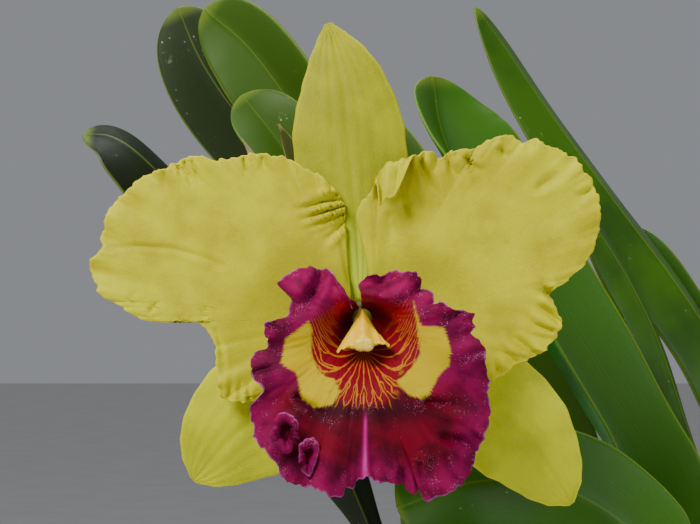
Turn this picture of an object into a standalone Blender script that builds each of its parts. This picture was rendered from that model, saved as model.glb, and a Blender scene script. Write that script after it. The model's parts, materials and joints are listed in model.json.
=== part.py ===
"""A flowering cattleya orchid in a plain clay pot, one object for each of its pieces.

Lengths are in millimetres here and become metres when a mesh is made. The origin is the centre of
the pot's underside, +Z is up and the bloom faces -Y. Leaves and stems lean towards -X.
"""

import math
import random

import bmesh
import bpy
from mathutils import Matrix, Vector

MM = 0.001
SEAT_GAP = 0.4          # clearance between a piece and what carries it

# Pot: a turned clay pot with a rolled rim and five drain holes
POT_HEIGHT = 120.0
POT_FOOT_RADIUS = 54.0
POT_NECK_RADIUS = 69.0  # outside, just under the rim band
POT_RIM_RADIUS = 76.0
POT_RIM_HEIGHT = 26.0
POT_WALL = 5.0
POT_FLOOR = 7.0
POT_SIDES = 40
DRAIN_HOLES = 5
DRAIN_RADIUS = 5.0
DRAIN_CIRCLE = 31.0

# Growing medium: a plug of bark with coarse chips standing out of its top
BARK_TOP = 102.0
CHIP_COUNT = 56
CHIP_LENGTH = (18.0, 29.0)
CHIP_SEED = 11

# Rhizome, roots and pseudobulbs
RHIZOME_HEIGHT = 111.0
RHIZOME_RADIUS = 4.4
ROOT_RADIUS = 1.9
BULB_BASE = RHIZOME_HEIGHT + RHIZOME_RADIUS + SEAT_GAP
BULB_SIDES = 12
BULB_ROWS = 8
RIB_DEPTH = 0.07        # furrows, as a share of the bulb's radius

# name: (base x, base y), (top x, y, z), greatest radius, top radius
BULBS = {
    "pseudobulb_a": ((-14, 30), (-36, 32, 230), 12.0, 7.5),
    "pseudobulb_b": ((-38, -20), (-70, -16, 256), 13.5, 9.5),
    "pseudobulb_c": ((-50, 14), (-80, 20, 218), 11.5, 6.5),
    "pseudobulb_d": ((10, 46), (0, 50, 222), 12.0, 6.5),
    "pseudobulb_e": ((47, -2), (41, 5, 194), 12.5, 7.5),
    "pseudobulb_f": ((48, 34), (64, 37, 214), 12.0, 7.5),
    "pseudobulb_g": ((8, -32), (14, -29, 206), 11.5, 6.5),
    "backbulb": ((20, 10), (23, 13, 178), 10.0, 3.0),
}
RHIZOME_LINKS = (
    ("backbulb", "pseudobulb_a"), ("pseudobulb_a", "pseudobulb_c"), ("pseudobulb_c", "pseudobulb_b"),
    ("backbulb", "pseudobulb_d"), ("backbulb", "pseudobulb_e"), ("pseudobulb_e", "pseudobulb_f"),
    ("pseudobulb_e", "pseudobulb_g"),
)
# Each root leaves the rhizome at a bulb, runs over the bark and dives into it
ROOTS = (
    ("pseudobulb_b", (-44, -30, 110), (-42, -38, 106), (-36, -44, 94)),
    ("pseudobulb_b", (-24, -28, 111), (-14, -36, 107), (-6, -44, 94)),
    ("pseudobulb_c", (-54, 20, 110), (-52, 28, 106), (-44, 36, 94)),
    ("pseudobulb_e", (54, -10, 110), (52, -20, 106), (44, -30, 94)),
    ("pseudobulb_g", (0, -40, 111), (10, -47, 107), (20, -50, 94)),
    ("pseudobulb_a", (-14, 40, 111), (-18, 48, 107), (-26, 50, 94)),
    ("pseudobulb_f", (40, 42, 110), (30, 48, 106), (22, 52, 94)),
)

# Leaves: thick folded straps. Each has its bulb, its seat beside the bulb's axis, the points of its
# midrib after that, half its width, the fold of each half, its turn about the midrib and its tip.
LEAF_THICKNESS = 2.0
LEAF_ROWS = 10
LEAF_COLUMNS = 4
SEAT_RUN = 12.0         # the length over which a leaf goes on along its bulb's axis
LEAF_GAP = 0.8          # clearance between a leaf's foot and its bulb
# How each kind of tip closes: where it starts and the two powers of its curve
TIPS = {"round": (0.80, 2.6, 0.5), "keen": (0.42, 1.6, 0.6), "sharp": (0.62, 1.6, 1.0)}
LEAVES = {
    "leaf_1": ("pseudobulb_a", (0, 3.8), ((-60, 38, 285), (-86, 41, 326), (-111, 42, 354),
                                          (-131, 42, 376), (-144, 42, 395), (-152, 42, 413)),
               17.0, 24, -8, "round"),
    "leaf_2": ("pseudobulb_a", (0, -3.8), ((-62, 27, 293), (-83, 25, 332), (-106, 25, 369),
                                           (-126, 25, 397), (-142, 25, 411)), 17.0, 30, -16, "round"),
    "leaf_3": ("pseudobulb_b", (0, 7.6), ((-84, 3, 298), (-99, 8, 335), (-114, 9, 361),
                                          (-129, 9, 381)), 15.0, 38, 20, "round"),
    "leaf_4": ("pseudobulb_c", (0, 0), ((-104, 18, 275), (-128, 15, 318), (-148, 12, 345),
                                        (-162, 10, 360), (-172, 10, 367), (-181, 10, 368)),
               15.0, 23, 235, "round"),
    "leaf_5": ("pseudobulb_d", (0, 0), ((-22, 51, 268), (-50, 52, 308), (-75, 54, 346),
                                        (-94, 55, 379)), 17.0, 24, 0, "round"),
    "leaf_6": ("pseudobulb_e", (0, -4.0), ((22, 2, 224), (-1, 4, 255), (-27, 5, 297), (-50, 5, 337),
                                           (-64, 5, 367), (-67, 5, 387)), 26.0, 45, 50, "round"),
    "leaf_7": ("pseudobulb_e", (0, 4.0), ((30, 13, 230), (19, 17, 265), (8, 20, 299),
                                          (-2, 20, 320), (-16, 20, 343)), 9.5, 23, 235, "round"),
    "leaf_8": ("pseudobulb_f", (0, -4.0), ((56, 41, 250), (41, 43, 280), (20, 43, 314),
                                           (-6, 43, 349), (-30, 43, 382), (-51, 42, 413)),
               18.5, 23, 235, "keen"),
    "leaf_9": ("pseudobulb_f", (0, 4.0), ((57, 53, 250), (42, 60, 279), (24, 64, 306),
                                          (3, 65, 338)), 10.0, 22, 0, "round"),
    "leaf_10": ("pseudobulb_g", (0, 0), ((4, -34, 230), (-10, -38, 246), (-30, -42, 257),
                                         (-54, -44, 259), (-79, -44, 251)), 19.0, 18, 24, "round"),
}

# Spathes round the flower's stem: bulb, seat, midrib points, half the width, fold of each half and
# half the width at the foot
SPATHE_THICKNESS = 0.9
SPATHES = {
    "flower_sheath": ("pseudobulb_b", (-0.6, 4.6), ((-77, -13.5, 285), (-87, -16, 312),
                                                    (-101, -19, 340), (-116, -22, 370)), 10.0, 48, 5.2),
    "dry_sheath": ("pseudobulb_b", (-7.4, 2.4), ((-87, -11.5, 284), (-98, -10, 308),
                                                 (-112, -10, 338), (-128, -10, 366)), 5.5, 22, 2.6),
}

# The flower's stem, from the bulb up through its spathe and over to the back of the bloom
STEM = ((-70, -18.5, 256.7), (-75, -20.5, 285), (-84, -25, 311), (-91, -33, 325), (-92.5, -45, 323),
        (-90.5, -56, 314), (-90, -63, 310.5), (-90, -67.2, 310))
STEM_RADIUS = 2.5
OVARY_RADIUS = 3.9

# The bloom's own axes: a to the right, b up and c forward from BLOOM, in millimetres
BLOOM = Vector((-90.0, -70.0, 310.0))
CLAW_RADIUS = 5.1       # the petals start this far from the bloom's axis
SEPAL_THICKNESS = 1.0
PETAL_THICKNESS = 0.9
LIP_THICKNESS = 0.8
COLUMN_FOOT_RADIUS = 4.4

# Half the width of every sepal from claw to tip, as shares of its length and of its greatest width
SEPAL_PROFILE = ((0.0, 0.20), (0.12, 0.42), (0.28, 0.76), (0.46, 0.99), (0.59, 0.97), (0.70, 0.86),
                 (0.79, 0.73), (0.88, 0.51), (0.95, 0.27), (1.0, 0.06))
# name: midrib points (a, b), greatest half width, how far the tip falls back
SEPALS = {
    "sepal_dorsal": (((-0.3, 4.95), (-1.5, 28), (-3.5, 50), (-5.6, 70), (-10.1, 88)), 17.2, 7),
    "sepal_left": (((-3.5, -3.6), (-14, -13), (-28, -26), (-40, -36.5), (-50.5, -49)), 18.4, 9),
    "sepal_right": (((3.9, -3.2), (16, -10), (33, -22), (49, -37), (63, -56)), 16.8, 9),
}

# Petal outlines as (angle, radius) round a point near the claw; angles run up from the bloom's right
PETAL_LEFT_CENTRE = (-4.4, 5.0)
PETAL_LEFT = ((91, 28), (97, 34), (104, 40), (112, 46), (120, 51), (127, 53.5), (134, 59), (140, 65),
              (148, 70), (155, 73.5), (161, 76), (166, 74), (172, 77), (177, 74), (181, 67),
              (186, 58), (189, 47), (194, 41.5), (203, 42), (212, 45), (219, 46.5), (228, 40))
PETAL_RIGHT_CENTRE = (4.4, 5.0)
PETAL_RIGHT = ((104, 24), (97, 31), (89, 37), (82, 41), (74, 45), (67, 47), (60, 52), (54, 59),
               (48, 64), (42, 68.5), (35, 72), (28, 73), (22, 71.5), (15, 66.5), (9, 60.5),
               (3, 52), (-3, 53), (-8, 55), (-15, 51.5), (-24, 46), (-35, 41))

# Lip: rings from its tube to its frilled rim, each as
# (share of the way, centre height b, radius at the sides, below, above, depth c at the same three)
LIP_RINGS = (
    (0.00, -0.5, 5.2, 5.2, 5.2, 4.2, 4.2, 4.2),
    (0.18, -1.5, 7.4, 7.8, 7.2, 9.5, 11.0, 8.5),
    (0.38, -3.5, 9.8, 10.2, 9.0, 16.5, 21.0, 14.0),
    (0.58, -6.0, 14.5, 14.5, 12.0, 21.5, 28.5, 17.5),
    (0.78, -8.5, 24.0, 25.0, 17.0, 24.0, 32.5, 18.0),
    (1.00, -9.5, 35.0, 41.0, 24.0, 22.5, 30.0, 14.5),
)
LIP_LEFT = -161.0       # the rim runs between these angles from straight down
LIP_RIGHT = 177.0
# The rim's radius by angle from straight down, positive to the bloom's right
LIP_RIM = ((-161, 20), (-157, 24), (-152, 27), (-145, 29), (-136, 31), (-127, 31),
           (-120, 25), (-111, 25), (-100, 29.5), (-90, 28.5), (-80, 33), (-68, 32.5), (-58, 38),
           (-45, 40.5), (-35, 43), (-26, 43.5), (-15, 42), (-7, 39), (0, 35), (6, 37.5), (14, 40),
           (22, 43.5), (33, 47), (44, 45), (56, 42), (70, 38.5), (82, 35), (92, 33.5), (104, 32.5),
           (114, 28), (124, 25), (137, 24.5), (148, 26), (158, 24.5), (167, 22.5), (177, 19))
LIP_WAVES = 13
LIP_WAVE_DEPTH = 2.6
LIP_ROWS = 9
LIP_COLUMNS = 52

# Colours as red, green and blue from 0 to 1, then roughness
FINISHES = {
    "clay": ((0.62, 0.33, 0.20), 0.9),
    "bark": ((0.24, 0.13, 0.07), 0.95),
    "rhizome": ((0.36, 0.40, 0.20), 0.7),
    "pseudobulb": ((0.30, 0.42, 0.14), 0.5),
    "leaf": ((0.13, 0.33, 0.05), 0.35),
    "sheath_green": ((0.30, 0.38, 0.12), 0.6),
    "sheath_dry": ((0.62, 0.52, 0.38), 0.8),
    "stem": ((0.42, 0.52, 0.18), 0.5),
    "sepal": ((0.70, 0.72, 0.10), 0.5),
    "petal": ((0.78, 0.72, 0.20), 0.55),
    "lip": ((0.45, 0.02, 0.16), 0.45),
    "column": ((0.88, 0.78, 0.42), 0.45),
}


def clear_scene():
    """Takes out whatever the file held."""
    for obj in list(bpy.data.objects):
        bpy.data.objects.remove(obj)


def new_collection(name):
    """A collection linked to the scene."""
    made = bpy.data.collections.new(name)
    bpy.context.scene.collection.children.link(made)
    return made


def finish(name):
    """The Principled material of that name."""
    found = bpy.data.materials.get(name)
    if found:
        return found
    colour, roughness = FINISHES[name]
    made = bpy.data.materials.new(name)
    made.use_nodes = True
    shader = made.node_tree.nodes["Principled BSDF"]
    shader.inputs["Base Color"].default_value = (*colour, 1.0)
    shader.inputs["Roughness"].default_value = roughness
    shader.inputs["Metallic"].default_value = 0.0
    return made


def along(points, t):
    """A point on the smooth curve through these points, with t from 0 to 1 shared out by length."""
    points = [Vector(p) for p in points]
    last = len(points) - 1
    runs = [(second - first).length for first, second in zip(points, points[1:])]
    rest = min(max(t, 0.0), 1.0) * sum(runs)
    i = 0
    while i < last - 1 and rest > runs[i]:
        rest -= runs[i]
        i += 1
    f = rest / runs[i]
    p1, p2 = points[i], points[i + 1]
    p0 = points[i - 1] if i else p1 * 2 - p2
    p3 = points[i + 2] if i + 2 <= last else p2 * 2 - p1
    return 0.5 * (2 * p1 + (p2 - p0) * f + (2 * p0 - 5 * p1 + 4 * p2 - p3) * f * f
                  + (3 * p1 - 3 * p2 + p3 - p0) * f ** 3)


def heading(points, t):
    """The curve's direction there."""
    step = 0.01
    return (along(points, t + step) - along(points, t - step)).normalized()


def table(rows, x):
    """The value at x of a table of (x, value), eased between its rows."""
    if x <= rows[0][0]:
        return rows[0][1]
    for (x0, y0), (x1, y1) in zip(rows, rows[1:]):
        if x <= x1:
            f = (x - x0) / (x1 - x0)
            f = f * f * (3 - 2 * f)
            return y0 + (y1 - y0) * f
    return rows[-1][1]


def mix(a, b, f):
    """Between a and b."""
    return a + (b - a) * f


def place(name, mesh, material, collection):
    """The mesh as an object in metres, shaded smooth apart from its sharp edges."""
    mesh.transform(Matrix.Scale(MM, 4))
    mesh.shade_smooth()
    mesh.set_sharp_from_angle(angle=math.radians(50))
    obj = bpy.data.objects.new(name, mesh)
    collection.objects.link(obj)
    mesh.materials.append(finish(material))
    return obj


def blade(name, surface, rows, columns, thickness, material, collection):
    """A thin closed blade: a grid laid on surface(u, v), split alike on both faces and thickened."""
    bm = bmesh.new()
    bmesh.ops.create_grid(bm, x_segments=rows, y_segments=columns, size=0.5)
    bmesh.ops.triangulate(bm, faces=bm.faces[:], quad_method="ALTERNATE")
    for vert in bm.verts:
        vert.co = surface(vert.co.x + 0.5, vert.co.y + 0.5)
    bm.normal_update()
    bmesh.ops.recalc_face_normals(bm, faces=bm.faces[:])
    mesh = bpy.data.meshes.new(name)
    bm.to_mesh(mesh)
    bm.free()
    obj = place(name, mesh, material, collection)
    solid = obj.modifiers.new("thickness", "SOLIDIFY")
    solid.thickness = thickness * MM
    solid.offset = 0.0
    return obj


def tube_mesh(name, ring, rows, sides):
    """A closed loft: ring(t, angle) gives the point at t along it and that angle round it."""
    bm = bmesh.new()
    bmesh.ops.create_grid(bm, x_segments=rows, y_segments=sides, size=0.5)
    for vert in bm.verts:
        vert.co = ring(vert.co.x + 0.5, (vert.co.y + 0.5) * math.tau)
    bmesh.ops.remove_doubles(bm, verts=bm.verts[:], dist=1e-4)
    bmesh.ops.holes_fill(bm, edges=[e for e in bm.edges if e.is_boundary])
    bm.normal_update()
    bmesh.ops.recalc_face_normals(bm, faces=bm.faces[:])
    mesh = bpy.data.meshes.new(name)
    bm.to_mesh(mesh)
    bm.free()
    return mesh


def swept(spine, radius, side=Vector((1, 0, 0)), ribs=0, rib_depth=0.0, rounds=0.0):
    """A ring function for a tube round a spine. ribs furrows run along it, and rounds of its length
    at each end close in on the axis."""
    def ring(t, angle):
        """The point at t and angle."""
        direction = heading(spine, t)
        across = (side - direction * side.dot(direction)).normalized()
        up = direction.cross(across)
        reach = radius(t) * (1 - rib_depth * (0.5 + 0.5 * math.cos(ribs * angle)))
        if rounds:
            reach *= math.sqrt(max(1 - max(1 - t / rounds, 0, 1 - (1 - t) / rounds) ** 2, 0.04))
        return along(spine, t) + (across * math.cos(angle) + up * math.sin(angle)) * reach
    return ring


def solid_mesh(obj):
    """The object's own finished mesh, with its modifiers applied."""
    graph = bpy.context.evaluated_depsgraph_get()
    return bpy.data.meshes.new_from_object(obj.evaluated_get(graph))


def split(mesh):
    """Splits the mesh's faces into triangles."""
    bm = bmesh.new()
    bm.from_mesh(mesh)
    bmesh.ops.triangulate(bm, faces=bm.faces[:])
    bm.to_mesh(mesh)
    bm.free()


def combine(obj, collection, operation):
    """Joins a collection's solids to obj, or cuts them from it, and then removes them."""
    for piece in (obj, *collection.objects):
        split(piece.data)
    boolean = obj.modifiers.new(operation.lower(), "BOOLEAN")
    boolean.operand_type = "COLLECTION"
    boolean.collection = collection
    boolean.operation = operation
    boolean.solver = "MANIFOLD"
    bpy.context.view_layer.update()
    joined = solid_mesh(obj)
    obj.modifiers.clear()
    obj.data = joined
    for used in list(collection.objects):
        bpy.data.objects.remove(used)
    bpy.data.collections.remove(collection)


def keep_largest(mesh):
    """Drops the scraps that a cut left loose."""
    bm = bmesh.new()
    bm.from_mesh(mesh)
    left, islands = set(bm.verts), []
    while left:
        found, edge = set(), [left.pop()]
        while edge:
            vert = edge.pop()
            found.add(vert)
            near = {e.other_vert(vert) for e in vert.link_edges} & left
            left -= near
            edge.extend(near)
        islands.append(found)
    islands.sort(key=len)
    for scrap in islands[:-1]:
        bmesh.ops.delete(bm, geom=list(scrap), context="VERTS")
    bm.to_mesh(mesh)
    bm.free()


def make_pot(collection):
    """A turned pot: foot, tapering wall, rim band and the hollow inside, with drain holes."""
    outside = [(0, 0), (POT_FOOT_RADIUS - 2, 0), (POT_FOOT_RADIUS, 2),
               (POT_NECK_RADIUS, POT_HEIGHT - POT_RIM_HEIGHT),
               (POT_RIM_RADIUS - 2, POT_HEIGHT - POT_RIM_HEIGHT),
               (POT_RIM_RADIUS - 1, POT_HEIGHT - POT_RIM_HEIGHT + 2),
               (POT_RIM_RADIUS, POT_HEIGHT - 2), (POT_RIM_RADIUS - 2, POT_HEIGHT)]
    inside = [(POT_NECK_RADIUS + 1, POT_HEIGHT), (POT_NECK_RADIUS, POT_HEIGHT - 2),
              (POT_FOOT_RADIUS - POT_WALL, POT_FLOOR + 3), (POT_FOOT_RADIUS - POT_WALL - 3, POT_FLOOR),
              (0, POT_FLOOR)]
    bm = bmesh.new()
    profile = [bm.verts.new((radius, 0, height)) for radius, height in reversed(outside + inside)]
    for first, second in zip(profile, profile[1:]):
        bm.edges.new((first, second))
    mesh = bpy.data.meshes.new("pot")
    bm.to_mesh(mesh)
    bm.free()
    mesh.transform(Matrix.Scale(MM, 4))
    pot = bpy.data.objects.new("pot", mesh)
    collection.objects.link(pot)
    screw = pot.modifiers.new("turn", "SCREW")
    screw.steps = screw.render_steps = POT_SIDES
    screw.use_merge_vertices = True
    screw.merge_threshold = 0.00005
    screw.use_smooth_shade = True
    mesh.materials.append(finish("clay"))
    pot.data = solid_mesh(pot)
    pot.modifiers.clear()
    drains = new_collection("drains")
    for i in range(DRAIN_HOLES):
        turn = math.tau * i / DRAIN_HOLES
        bm = bmesh.new()
        bmesh.ops.create_cone(bm, cap_ends=True, segments=12, radius1=DRAIN_RADIUS,
                              radius2=DRAIN_RADIUS, depth=4 * POT_FLOOR)
        bmesh.ops.translate(bm, verts=bm.verts[:], vec=(DRAIN_CIRCLE * math.cos(turn),
                                                        DRAIN_CIRCLE * math.sin(turn), 0))
        mesh = bpy.data.meshes.new("drain")
        bm.to_mesh(mesh)
        bm.free()
        place("drain", mesh, "clay", drains)
    combine(pot, drains, "DIFFERENCE")
    pot.data.set_sharp_from_angle(angle=math.radians(35))


def rhizome_solids(grow, collection, material):
    """The rhizome's links and the roots as overlapping tubes, each grown outward by grow."""
    made = []
    for i, (first, second) in enumerate(RHIZOME_LINKS):
        ends = [Vector((*BULBS[name][0], RHIZOME_HEIGHT + 0.02 * i)) for name in (first, second)]
        run = (ends[1] - ends[0]).normalized() * (RHIZOME_RADIUS + 0.21 * i)
        spine = (ends[0] - run, ends[0], (ends[0] + ends[1]) / 2, ends[1], ends[1] + run)
        radius = RHIZOME_RADIUS - 0.05 * i + grow
        ring = swept(spine, lambda t, radius=radius: radius, Vector((0.2, 0.1, 1)), rounds=0.12)
        made.append(place("link", tube_mesh("link", ring, 6, 7), material, collection))
    for bulb, *points in ROOTS:
        spine = [Vector((*BULBS[bulb][0], RHIZOME_HEIGHT - 1)), *map(Vector, points)]
        spine[-1] += (spine[-1] - spine[-2]).normalized() * grow
        ring = swept(spine, lambda t: ROOT_RADIUS * (1.1 - 0.4 * t) + grow, Vector((0.3, 0.2, 1)))
        made.append(place("root", tube_mesh("root", ring, 6, 5), material, collection))
    return made


def make_rhizome(name, grow, collection, material):
    """The creeping rhizome with its roots, as one body, grown outward by grow."""
    extra = new_collection("rhizome_pieces")
    first, *_ = rhizome_solids(grow, extra, material)
    extra.objects.unlink(first)
    collection.objects.link(first)
    first.name = name
    combine(first, extra, "UNION")


def make_bark(collection):
    """The bark: a tapering plug that fills the pot, with chips sunk in its top, and a groove
    wherever the rhizome or a root lies."""
    floor = POT_FLOOR + SEAT_GAP

    def inner_radius(height):
        """The pot's inside radius at that height."""
        low = (POT_FLOOR + 3, POT_FOOT_RADIUS - POT_WALL)
        high = (POT_HEIGHT - 2, POT_NECK_RADIUS)
        return mix(low[1], high[1], (height - low[0]) / (high[0] - low[0]))

    heights = [floor, floor + 5, 40, 75, BARK_TOP - 4, BARK_TOP, BARK_TOP + 1, BARK_TOP + 1, BARK_TOP]
    shares = [0.9, 1.0, 1.0, 1.0, 1.0, 0.96, 0.72, 0.46, 0.20]

    def ring(t, angle):
        """The plug's own point: up the pot's wall and in over the top."""
        row = round(t * (len(heights) - 1))
        radius = shares[row] * (inner_radius(min(heights[row], BARK_TOP)) - 2 * SEAT_GAP)
        swell = 0.8 * math.sin(3 * angle + row) if row > 5 else 0.0
        return Vector((radius * math.cos(angle), radius * math.sin(angle), heights[row] + swell))
    plug = place("bark_mix", tube_mesh("bark_mix", ring, len(heights) - 1, 28), "bark", collection)
    chips = new_collection("chips")
    draw = random.Random(CHIP_SEED)
    routes = [[Vector((*BULBS[name][0], 0)) for name in link] for link in RHIZOME_LINKS]
    for i in range(CHIP_COUNT):
        length = draw.uniform(*CHIP_LENGTH)
        distance = (inner_radius(BARK_TOP) - length * 0.62) * math.sqrt((i + 0.5) / CHIP_COUNT)
        turn = i * math.pi * (3 - math.sqrt(5))
        spot = Vector((distance * math.cos(turn), distance * math.sin(turn), 0))
        near = min(route_distance(spot, route) for route in routes)
        height = BARK_TOP + (draw.uniform(-1.0, 3.0) if near > 13 else draw.uniform(-3.0, -1.0))
        size = (length, length * draw.uniform(0.55, 0.8), draw.uniform(5, 8))
        tilt = [math.radians(draw.uniform(-16, 16)) for _ in range(2)]
        bm = bmesh.new()
        bmesh.ops.create_cube(bm, size=1)
        for vert in bm.verts:
            vert.co = [c * s * draw.uniform(0.72, 1.0) for c, s in zip(vert.co, size)]
        bmesh.ops.rotate(bm, verts=bm.verts[:], matrix=Matrix.Rotation(draw.uniform(0, math.tau), 3, "Z")
                         @ Matrix.Rotation(tilt[0], 3, "X") @ Matrix.Rotation(tilt[1], 3, "Y"))
        bmesh.ops.translate(bm, verts=bm.verts[:], vec=(spot.x, spot.y, height))
        mesh = bpy.data.meshes.new("chip")
        bm.to_mesh(mesh)
        bm.free()
        place("chip", mesh, "bark", chips)
    combine(plug, chips, "UNION")
    moulds = new_collection("moulds")
    make_rhizome("mould", SEAT_GAP + 0.15, moulds, "bark")
    combine(plug, moulds, "DIFFERENCE")
    keep_largest(plug.data)


def route_distance(spot, route):
    """How far a spot on the bark lies from a straight route."""
    start, end = route
    run = end - start
    f = min(max((spot - start).dot(run) / run.length_squared, 0), 1)
    return (spot - start - run * f).length


def bulb_spine(name):
    """A pseudobulb's axis: up from the rhizome, then leaning to its top."""
    (x, y), top, *_ = BULBS[name]
    base, top = Vector((x, y, BULB_BASE)), Vector(top)
    rise = Vector((0, 0, (top.z - base.z) / 4))
    lean = (top - base).normalized() * rise.z
    return base, base + rise, base.lerp(top, 0.55) + rise * 0.15, top - lean, top


def make_bulbs(collection):
    """The swollen stems: narrow at the foot, club-shaped above, furrowed along their length."""
    for name, (_, _, greatest, top_radius) in BULBS.items():
        profile = ((0.0, 5.2), (0.12, 6.4), (0.35, greatest * 0.86), (0.62, greatest),
                   (0.84, greatest * 0.82 + top_radius * 0.12), (1.0, top_radius))
        ring = swept(bulb_spine(name), lambda t, p=profile: table(p, t), ribs=BULB_SIDES // 2,
                     rib_depth=RIB_DEPTH)
        place(name, tube_mesh(name, ring, BULB_ROWS, BULB_SIDES), "pseudobulb", collection)


def strap_surface(spine, half_width, fold, roll, base_share, tip):
    """A folded strap along a spine: u runs from its base to its tip and v across it. Its upper face
    looks to -Y, turned by roll about the midrib."""
    fold, roll = math.radians(fold), math.radians(roll)
    base_roll = math.pi if roll > 2 else 0.0

    def width(t):
        """Half the width at t."""
        swell = table(((0.0, base_share), (0.10, base_share * 1.05), (0.34, 0.90), (0.55, 1.0)), t)
        start, power, bow = TIPS[tip]
        close = max(t - start, 0) / (1 - start)
        return half_width * swell * max((1 - close ** power) ** bow, 0.1)

    def surface(u, v):
        """The point at u and v."""
        t = math.sin(u * math.pi / 2) ** 1.15
        direction = heading(spine, t)
        facing = Vector((0, -1, 0))
        facing = (facing - direction * facing.dot(direction)).normalized()
        turn = table(((0.08, base_roll), (0.45, roll)), t)
        facing.rotate(Matrix.Rotation(turn, 3, direction))
        across = direction.cross(facing)
        side = v * 2 - 1
        reach = width(t)
        steep = mix(max(fold, math.radians(38)), fold, min(t * 4, 1)) * (1 - t ** 14)
        rise = (math.sqrt(side * side + 0.02) - 0.14) * reach
        return along(spine, t) + across * side * reach * math.cos(steep) + facing * rise * math.sin(steep)
    return surface


def leaf_spine(bulb, seat, points):
    """The midrib: off the bulb's top along the bulb's own axis, then through the leaf's points."""
    axis = heading(bulb_spine(bulb), 1.0)
    top = Vector(BULBS[bulb][1]) + Vector((*seat, 0)) - axis * Vector((*seat, 0)).dot(axis)
    return top + axis * LEAF_GAP, top + axis * SEAT_RUN, *points


def make_leaves(collection):
    """Every leaf, each on its own pseudobulb."""
    for name, (bulb, seat, points, half_width, fold, roll, tip) in LEAVES.items():
        spine = leaf_spine(bulb, seat, points)
        surface = strap_surface(spine, half_width, fold, roll, 4.6 / half_width, tip)
        blade(name, surface, LEAF_ROWS, LEAF_COLUMNS, LEAF_THICKNESS, "leaf", collection)


def make_spathes(collection):
    """The green spathe that wraps the flower's stem, and the dry one beside it."""
    for name, (bulb, seat, points, half_width, fold, foot) in SPATHES.items():
        spine = leaf_spine(bulb, seat, points)
        surface = strap_surface(spine, half_width, fold, 0, foot / half_width, "sharp")
        material = "sheath_green" if name == "flower_sheath" else "sheath_dry"
        blade(name, surface, 10, 4, SPATHE_THICKNESS, material, collection)


def make_stem(collection):
    """The peduncle and the ovary that ends it, behind the bloom."""
    profile = ((0.0, STEM_RADIUS), (0.5, STEM_RADIUS), (0.72, STEM_RADIUS * 0.95),
               (0.9, OVARY_RADIUS * 0.9), (1.0, OVARY_RADIUS))
    ring = swept(STEM, lambda t: table(profile, t), ribs=3, rib_depth=0.05)
    place("flower_stem", tube_mesh("flower_stem", ring, 18, 9), "stem", collection)


def on_bloom(a, b, c):
    """A point given in the bloom's own axes."""
    return BLOOM + Vector((a, -c, b))


def make_sepals(collection):
    """Three sepals behind the petals, their tips falling back."""
    for name, (spine, half_width, fall) in SEPALS.items():
        spine = [Vector((a, b, 0)) for a, b in spine]

        def surface(u, v, spine=spine, half_width=half_width, fall=fall):
            """The point at u from claw to tip and v across."""
            t = math.sin(u * math.pi / 2)
            direction = heading(spine, t)
            across = Vector((direction.y, -direction.x, 0))
            side = v * 2 - 1
            point = along(spine, t) + across * side * half_width * table(SEPAL_PROFILE, t)
            crown = 1.4 * math.sin(math.pi * t) * (1 - 1.9 * side * side) - 0.5 * (1 - side * side) * t
            return on_bloom(point.x, point.y, crown - 1.2 - fall * t ** 3)
        blade(name, surface, 11, 6, SEPAL_THICKNESS, "sepal", collection)


def petal_surface(outline, centre, hand, ruffles):
    """A petal: straight lines from its claw to its outline, crowned, with a ruffled margin. hand is
    -1 on the bloom's left and 1 on its right. Each ruffle is (share round, spread, waves, height)."""
    first, last = outline[0][0], outline[-1][0]

    def surface(u, v):
        """The point at u from claw to margin and v round the outline from the top."""
        angle = mix(first, last, v)
        rows = outline if first < last else outline[::-1]
        radius = table(rows, angle)
        turn = math.radians(angle)
        rim = (centre[0] + radius * math.cos(turn), centre[1] + radius * math.sin(turn))
        perch = math.radians(mix(52, -22, v))
        claw = (hand * CLAW_RADIUS * math.cos(perch), CLAW_RADIUS * math.sin(perch))
        s = u ** 0.85
        wave = 0.0
        for at, spread, waves, height in ruffles:
            near = math.exp(-((v - at) / spread) ** 2)
            wave += height * near * math.sin(math.tau * waves * v)
        crown = 1.6 + 5.2 * s - 2.6 * s * s
        return on_bloom(mix(claw[0], rim[0], s), mix(claw[1], rim[1], s), crown + wave * s ** 5)
    return surface


def make_petals(collection):
    """The two broad petals."""
    left = petal_surface(PETAL_LEFT, PETAL_LEFT_CENTRE, -1, (
        (0.10, 0.09, 17, 1.3), (0.45, 0.20, 13, 0.9), (0.85, 0.12, 9, 1.2)))
    right = petal_surface(PETAL_RIGHT, PETAL_RIGHT_CENTRE, 1, (
        (0.14, 0.12, 9, 2.0), (0.42, 0.10, 8, 1.3), (0.80, 0.14, 12, 1.2)))
    blade("petal_left", left, 7, 30, PETAL_THICKNESS, "petal", collection)
    blade("petal_right", right, 7, 30, PETAL_THICKNESS, "petal", collection)


def three_way(turn, side, below, above):
    """A value round the lip: below at 0, side at a quarter turn each way and above at a half turn."""
    lean = math.cos(turn)
    return mix(side, below, lean * lean) if lean > 0 else mix(side, above, lean * lean)


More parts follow.
